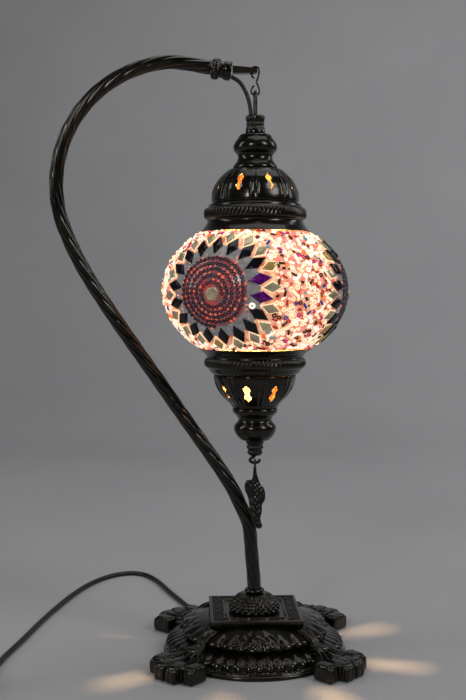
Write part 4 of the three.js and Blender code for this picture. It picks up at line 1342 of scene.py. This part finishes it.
LOOSE_BEADS = [  # piece, glass and its share of the beads
    ("beads_white", white_glass, 0.3),
    ("beads_cream", cream_glass, 0.36),
    ("beads_pink", pink_glass, 0.1),
    ("beads_magenta", magenta_glass, 0.04),
    ("beads_orange", orange_glass, 0.03),
    ("beads_red", red_glass, 0.06),
    ("beads_brown", brown_glass, 0.08),
    ("beads_blue", blue_glass, 0.02),
    ("beads_teal", teal_glass, 0.01),
]
MEDALLION_PIECES = {
    "medallion_pearls": white_glass,
    "medallion_ring_beads": dark_glass,
    "medallion_ember_beads": ember_glass,
    "medallion_grout": grey_grout,
    "medallion_ember_grout": ember_grout,
    "diamond_grout": cream_grout,
    "medallion_mirrors": champagne_tile,
    "diamonds_black": black_tile,
    "diamonds_purple": purple_tile,
    "diamonds_champagne": champagne_tile,
    "diamonds_gold": gold_tile,
}


def in_medallion(turn, rise, margin):
    """True where a point lies within a medallion's star."""
    tilt = np.interp(rise, ARC_TABLE, TILT_TABLE)
    inside = np.zeros(np.shape(turn), bool)
    for middle in MEDALLIONS:
        away = (turn - middle + math.pi) % TAU - math.pi
        distance = np.hypot(away * EQUATOR * np.cos(tilt), rise - MEDALLION_RISE)
        inside |= distance < STAR_RADIUS + margin
    return inside


def scatter_beads():
    """Random places for the loose beads, kept apart from each other and out of the medallions."""
    rise_limit = np.interp(math.asin(HALF_HEIGHT / POLE), TILT_TABLE, ARC_TABLE) - 2.2
    places, radii = np.empty((0, 3)), np.empty(0)
    kept = []
    for radius, tries in ((1.95, 14000), (1.65, 20000), (1.3, 20000), (1.0, 12000)):
        turn = rng.uniform(0, TAU, tries)
        rise = rng.uniform(-rise_limit, rise_limit, tries)
        size = radius * rng.uniform(0.9, 1.1, tries)
        free = ~in_medallion(turn, rise, 1.5)
        width = np.cos(np.interp(rise, ARC_TABLE, TILT_TABLE))
        free &= rng.uniform(0, 1, tries) < width / width.max()
        point = on_globe(turn, rise)[0]
        for i in np.flatnonzero(free):
            gaps = np.sum((places - point[i]) ** 2, axis=1)
            if (gaps < (0.88 * (radii + size[i])) ** 2).any():
                continue
            places = np.vstack([places, point[i]])
            radii = np.append(radii, size[i])
            kept.append((turn[i], rise[i], size[i]))
    return np.array(kept)


def make_loose_beads():
    turn, rise, size = scatter_beads().T
    choice = rng.choice(len(LOOSE_BEADS), len(size), p=[share for _, _, share in LOOSE_BEADS])
    kinds = (  # shape, its length, width and height for a bead of size 1, and how far it is sunk
        (ring_bead(0.36), (1, 1, 0.9), -0.2),
        (standing_bead(), (1.3, 0.8, 0.8), -0.5),
        (bugle_bead(), (1.25, 0.5, 0.5), -0.5),
    )
    kind = rng.choice(3, len(size), p=[0.5, 0.25, 0.25])
    cores = []
    for index, (name, material, _) in enumerate(LOOSE_BEADS):
        parts = []
        for which, (shape, scale, off) in enumerate(kinds):
            mine = (choice == index) & (kind == which)
            if not mine.any():
                continue
            r = size[mine]
            places = on_globe(turn[mine], rise[mine], np.full(len(r), off))
            spins = rng.uniform(0, TAU, len(r))
            parts.append(stamp(*shape, places, spins, np.outer(r, scale)))
            if which == 2 and material in (white_glass, cream_glass):  # a dyed core shows through clear glass
                over = on_globe(turn[mine], rise[mine], r * 0.38)
                cores.append(stamp(*shape, over, spins, np.outer(r, (1.1, 0.17, 0.17))))
        add_beads(name, material, parts)
    add_beads("bead_cores", red_glass, cores)


def grout_disc(middle, near, far, lift, scallop):
    """A thin ring of grout on the globe round a medallion's middle, wavy outside the disc of beads."""
    out = np.concatenate([np.linspace(near, far, 20), np.linspace(far, near, 20)])
    lifts = np.concatenate([np.full(20, lift), np.full(20, lift - 0.5)])
    out, turn = np.meshgrid(out, np.linspace(0, TAU, 96, endpoint=False), indexing="ij")
    wave = np.where(out > DISC_RADIUS + 1, scallop * np.cos(DIAMONDS * (turn - DIAMOND_PHASE)), 0)
    u = (out + wave) * np.cos(turn)
    v = (out + wave) * np.sin(turn) + MEDALLION_RISE
    points = round_medallion(middle, u.ravel(), v.ravel(), np.repeat(lifts, 96))[0]
    return points, facing_out(points, quads(40, 96, close_rows=True))


def bead_spiral():
    """Distances and angles of the beads of one disc, wound outward from its mirror."""
    reach, sweep = [], []
    r, walk = 7.4, 0.0
    while r < DISC_RADIUS - 0.7:
        reach.append(r)
        sweep.append(walk)
        advance = BEAD_PITCH / r
        walk += advance
        r += ROW_PITCH * advance / TAU
    return np.array(reach), np.array(sweep)


def add_disc(parts, middle):
    """The spiral of dark ring beads, the embers between its rows, the grout and the mirror."""
    reach, sweep = bead_spiral()
    reach = reach + rng.normal(0, 0.22, len(reach))
    drift = (1 - reach / DISC_RADIUS) ** 2

    def spots(distance, angle, off):
        u = distance * np.cos(angle) + CENTRE_SHIFT[0] * drift
        v = distance * np.sin(angle) + CENTRE_SHIFT[1] * drift + MEDALLION_RISE
        return round_medallion(middle, u, v, np.full(len(u), off))

    bead = ring_bead(0.3)
    size = rng.uniform(1.62, 1.86, len(reach))
    places = spots(reach, sweep, 0.25)
    parts["medallion_ring_beads"].append(stamp(*bead, places, sweep, np.outer(size, (1, 1, 1))))
    places = spots(reach + 2.1, sweep + 1.6 / reach, 0.0)
    lit = rng.uniform(0, 1, len(reach)) < 0.5
    size = rng.uniform(0.7, 1.3, lit.sum())
    embers = stamp(*bead, picked(places, lit), sweep[lit], np.outer(size, (1, 1, 1)))
    parts["medallion_ember_beads"].append(embers)
    parts["medallion_ember_grout"].append(grout_disc(middle, 0.5, DISC_RADIUS - 1, 0.6, 0))
    parts["medallion_grout"].append(grout_disc(middle, DISC_RADIUS - 1.5, DISC_RADIUS + 11, 0.5, 2.2))
    mirror = tile([(4.4, 0.4), (2.4, 3.9), (-1.8, 4.2), (-4.4, 1.6), (-3.6, -3.0), (1.0, -4.3)])
    u, v = 0.6 * CENTRE_SHIFT
    place = round_medallion(middle, np.array([u]), np.array([v + MEDALLION_RISE]), np.array([0.5]))
    parts["medallion_mirrors"].append(stamp(*mirror, place, np.array([0.2]), np.array([[1.3, 1.2, 1.1]])))


def add_diamonds(parts, middle, first):
    """Eighteen dark diamonds round the disc, two of the first medallion's purple, and one pearl."""
    turn = DIAMOND_PHASE + TAU * np.arange(DIAMONDS) / DIAMONDS
    shape = tile([(9.0, -0.4), (0.9, 4.5), (-8.8, 0.4), (-0.5, -4.5)])
    spins = turn + rng.normal(0, 0.05, DIAMONDS)
    radius = 38.0 + rng.normal(0, 0.4, DIAMONDS)
    rise = radius * np.sin(turn) + MEDALLION_RISE
    places = round_medallion(middle, radius * np.cos(turn), rise, np.full(DIAMONDS, 0.4))
    purple = (np.arange(DIAMONDS) < 2) & first
    add_tiles(parts, {"diamonds_purple": purple, "diamonds_black": ~purple}, shape, places, spins)
    place = round_medallion(middle, np.array([30.5]), np.array([MEDALLION_RISE - 10.5]), np.array([0.8]))
    pearl = stamp(*ring_bead(0.34, 20, 8), place, np.array([0.0]), np.full((1, 3), 2.5))
    parts["medallion_pearls"].append(pearl)


def add_outer_diamonds(parts, middle):
    """Champagne and gold diamonds between the dark ones, each on its rim of cream grout."""
    turn = DIAMOND_PHASE + TAU * np.arange(DIAMONDS) / DIAMONDS + TAU / DIAMONDS / 2
    radius = 46.2 + rng.normal(0, 0.4, DIAMONDS)
    east, rise = radius * np.cos(turn), radius * np.sin(turn) + MEDALLION_RISE
    fits = np.abs(rise) < 50
    rim = tile([(8.5, 0), (0.5, 4.9), (-8.5, 0), (-0.2, -4.9)])
    under = round_medallion(middle, east, rise, np.full(DIAMONDS, -0.1))
    rims = stamp(*rim, picked(under, fits), turn[fits], np.tile([1.0, 1.0, 0.6], (fits.sum(), 1)))
    parts["diamond_grout"].append(rims)
    shape = tile([(7.0, 0), (0.4, 3.8), (-7.0, 0), (-0.2, -3.8)])
    places = round_medallion(middle, east, rise, np.full(DIAMONDS, 0.3))
    gold = rng.uniform(0, 1, DIAMONDS) < 0.3
    add_tiles(parts, {"diamonds_gold": gold & fits, "diamonds_champagne": ~gold & fits}, shape, places, turn)


def add_tiles(parts, colours, shape, places, spins):
    for name, mine in colours.items():
        if mine.any():
            parts[name].append(stamp(*shape, picked(places, mine), spins[mine], np.ones((mine.sum(), 3))))


def make_medallions():
    """Spiral of dark ring beads round a cut mirror, then dark diamonds, then mirror diamonds."""
    parts = {name: [] for name in MEDALLION_PIECES}
    for number, middle in enumerate(MEDALLIONS):
        add_disc(parts, middle)
        add_diamonds(parts, middle, number == 0)
        add_outer_diamonds(parts, middle)
    for name, material in MEDALLION_PIECES.items():
        add_beads(name, material, parts[name])


def half_wall(equator, pole, sign):
    """One side of the globe's wall, as points on an ellipse cut off at both ends."""
    heights = [sign * HALF_HEIGHT * math.cos(math.pi * k / 40) for k in range(41)]
    return [(equator * math.sqrt(1 - (z / pole) ** 2), GLOBE_Z + z) for z in heights]


def globe_wall(outer, inner):
    return half_wall(*outer, -1) + half_wall(*inner, 1)


def grout_lumps(angle, r, z):
    return 0.15 * np.sin(31 * angle + z) * np.sin(0.9 * z)


def make_globe():
    turned_piece("globe_glass", globe_wall((72.5, 55.8), (70, 53.4)), glass, "shade", "glass", "glass_globe",
                 SHADE, sides=96, radius=0)
    turned_piece("mosaic_grout", globe_wall((73.3, 56.6), (EQUATOR, POLE)), salmon_grout, "shade", "mosaic",
                 "mosaic_layer", SHADE, sides=192, relief=grout_lumps, radius=0)
    make_medallions()
    make_loose_beads()


make_globe()


# ------------------------------------------------------------------ stage
def area_light(name, location, target, size, energy):
    light = bpy.data.lights.new(name, "AREA")
    light.shape = "RECTANGLE"
    light.size, light.size_y = size
    light.energy = energy
    obj = bpy.data.objects.new(name, light)
    obj.location = location
    obj.rotation_mode = "QUATERNION"
    obj.rotation_quaternion = (Vector(target) - Vector(location)).to_track_quat("-Z", "Y")
    bpy.context.collection.objects.link(obj)


def point_light(name, spot, energy, radius):
    light = bpy.data.lights.new(name, "POINT")
    light.energy = energy
    light.color = (1.0, 0.62, 0.3)
    light.shadow_soft_size = radius * MM
    obj = bpy.data.objects.new(name, light)
    obj.location = Vector(spot) * MM
    bpy.context.collection.objects.link(obj)


def make_floor():
    """A pale floor that sweeps up into a backdrop."""
    profile = [(-3.0, 0.0), (1.1, 0.0)]
    profile += [(1.1 + 0.9 * math.sin(a), 0.9 - 0.9 * math.cos(a)) for a in np.linspace(0.1, math.pi / 2, 12)]
    profile += [(2.0, 4.0)]
    points = [(x, y, z) for y, z in profile for x in (-4.0, 4.0)]
    faces = [(2 * k, 2 * k + 1, 2 * k + 3, 2 * k + 2) for k in range(len(profile) - 1)]
    mesh = bpy.data.meshes.new("floor")
    mesh.from_pydata(points, [], faces)
    mesh.materials.append(mottled("floor", (0.36, 0.36, 0.37), (0.39, 0.39, 0.40), 3, (0.55, 0.65)))
    mesh.shade_smooth()
    floor = bpy.data.objects.new("floor", mesh)
    bpy.context.collection.objects.link(floor)


def make_lights():
    """Soft light from the sides and above, a dim surround and the lit bulb."""
    area_light("key", (1.2, -1.0, 1.3), (0, 0, 0.25), (0.45, 0.9), 10)
    area_light("front", (-0.7, -1.5, 0.9), (0, 0, 0.2), (0.25, 0.45), 6.5)
    area_light("side", (-1.4, -0.1, 0.9), (0, 0, 0.25), (0.3, 1.2), 5)
    area_light("top", (0.1, 0.3, 1.9), (0, 0.2, 0), (1.4, 1.4), 9)
    area_light("backdrop", (1.3, 0.5, 1.0), (0.35, 1.9, 0.5), (0.8, 0.8), 8)
    point_light("bulb_light", SHADE + [0, 0, 278], 5.0, 4)
    point_light("bulb_high", SHADE + [8, -8, 366], 0.16, 4)
    world = bpy.data.worlds.new("world")
    world.use_nodes = True
    background = world.node_tree.nodes["Background"]
    background.inputs["Color"].default_value = (0.5, 0.51, 0.53, 1)
    background.inputs["Strength"].default_value = 0.1
    bpy.context.scene.world = world
    bpy.context.scene.view_settings.view_transform = "Standard"


make_floor()
make_lights()
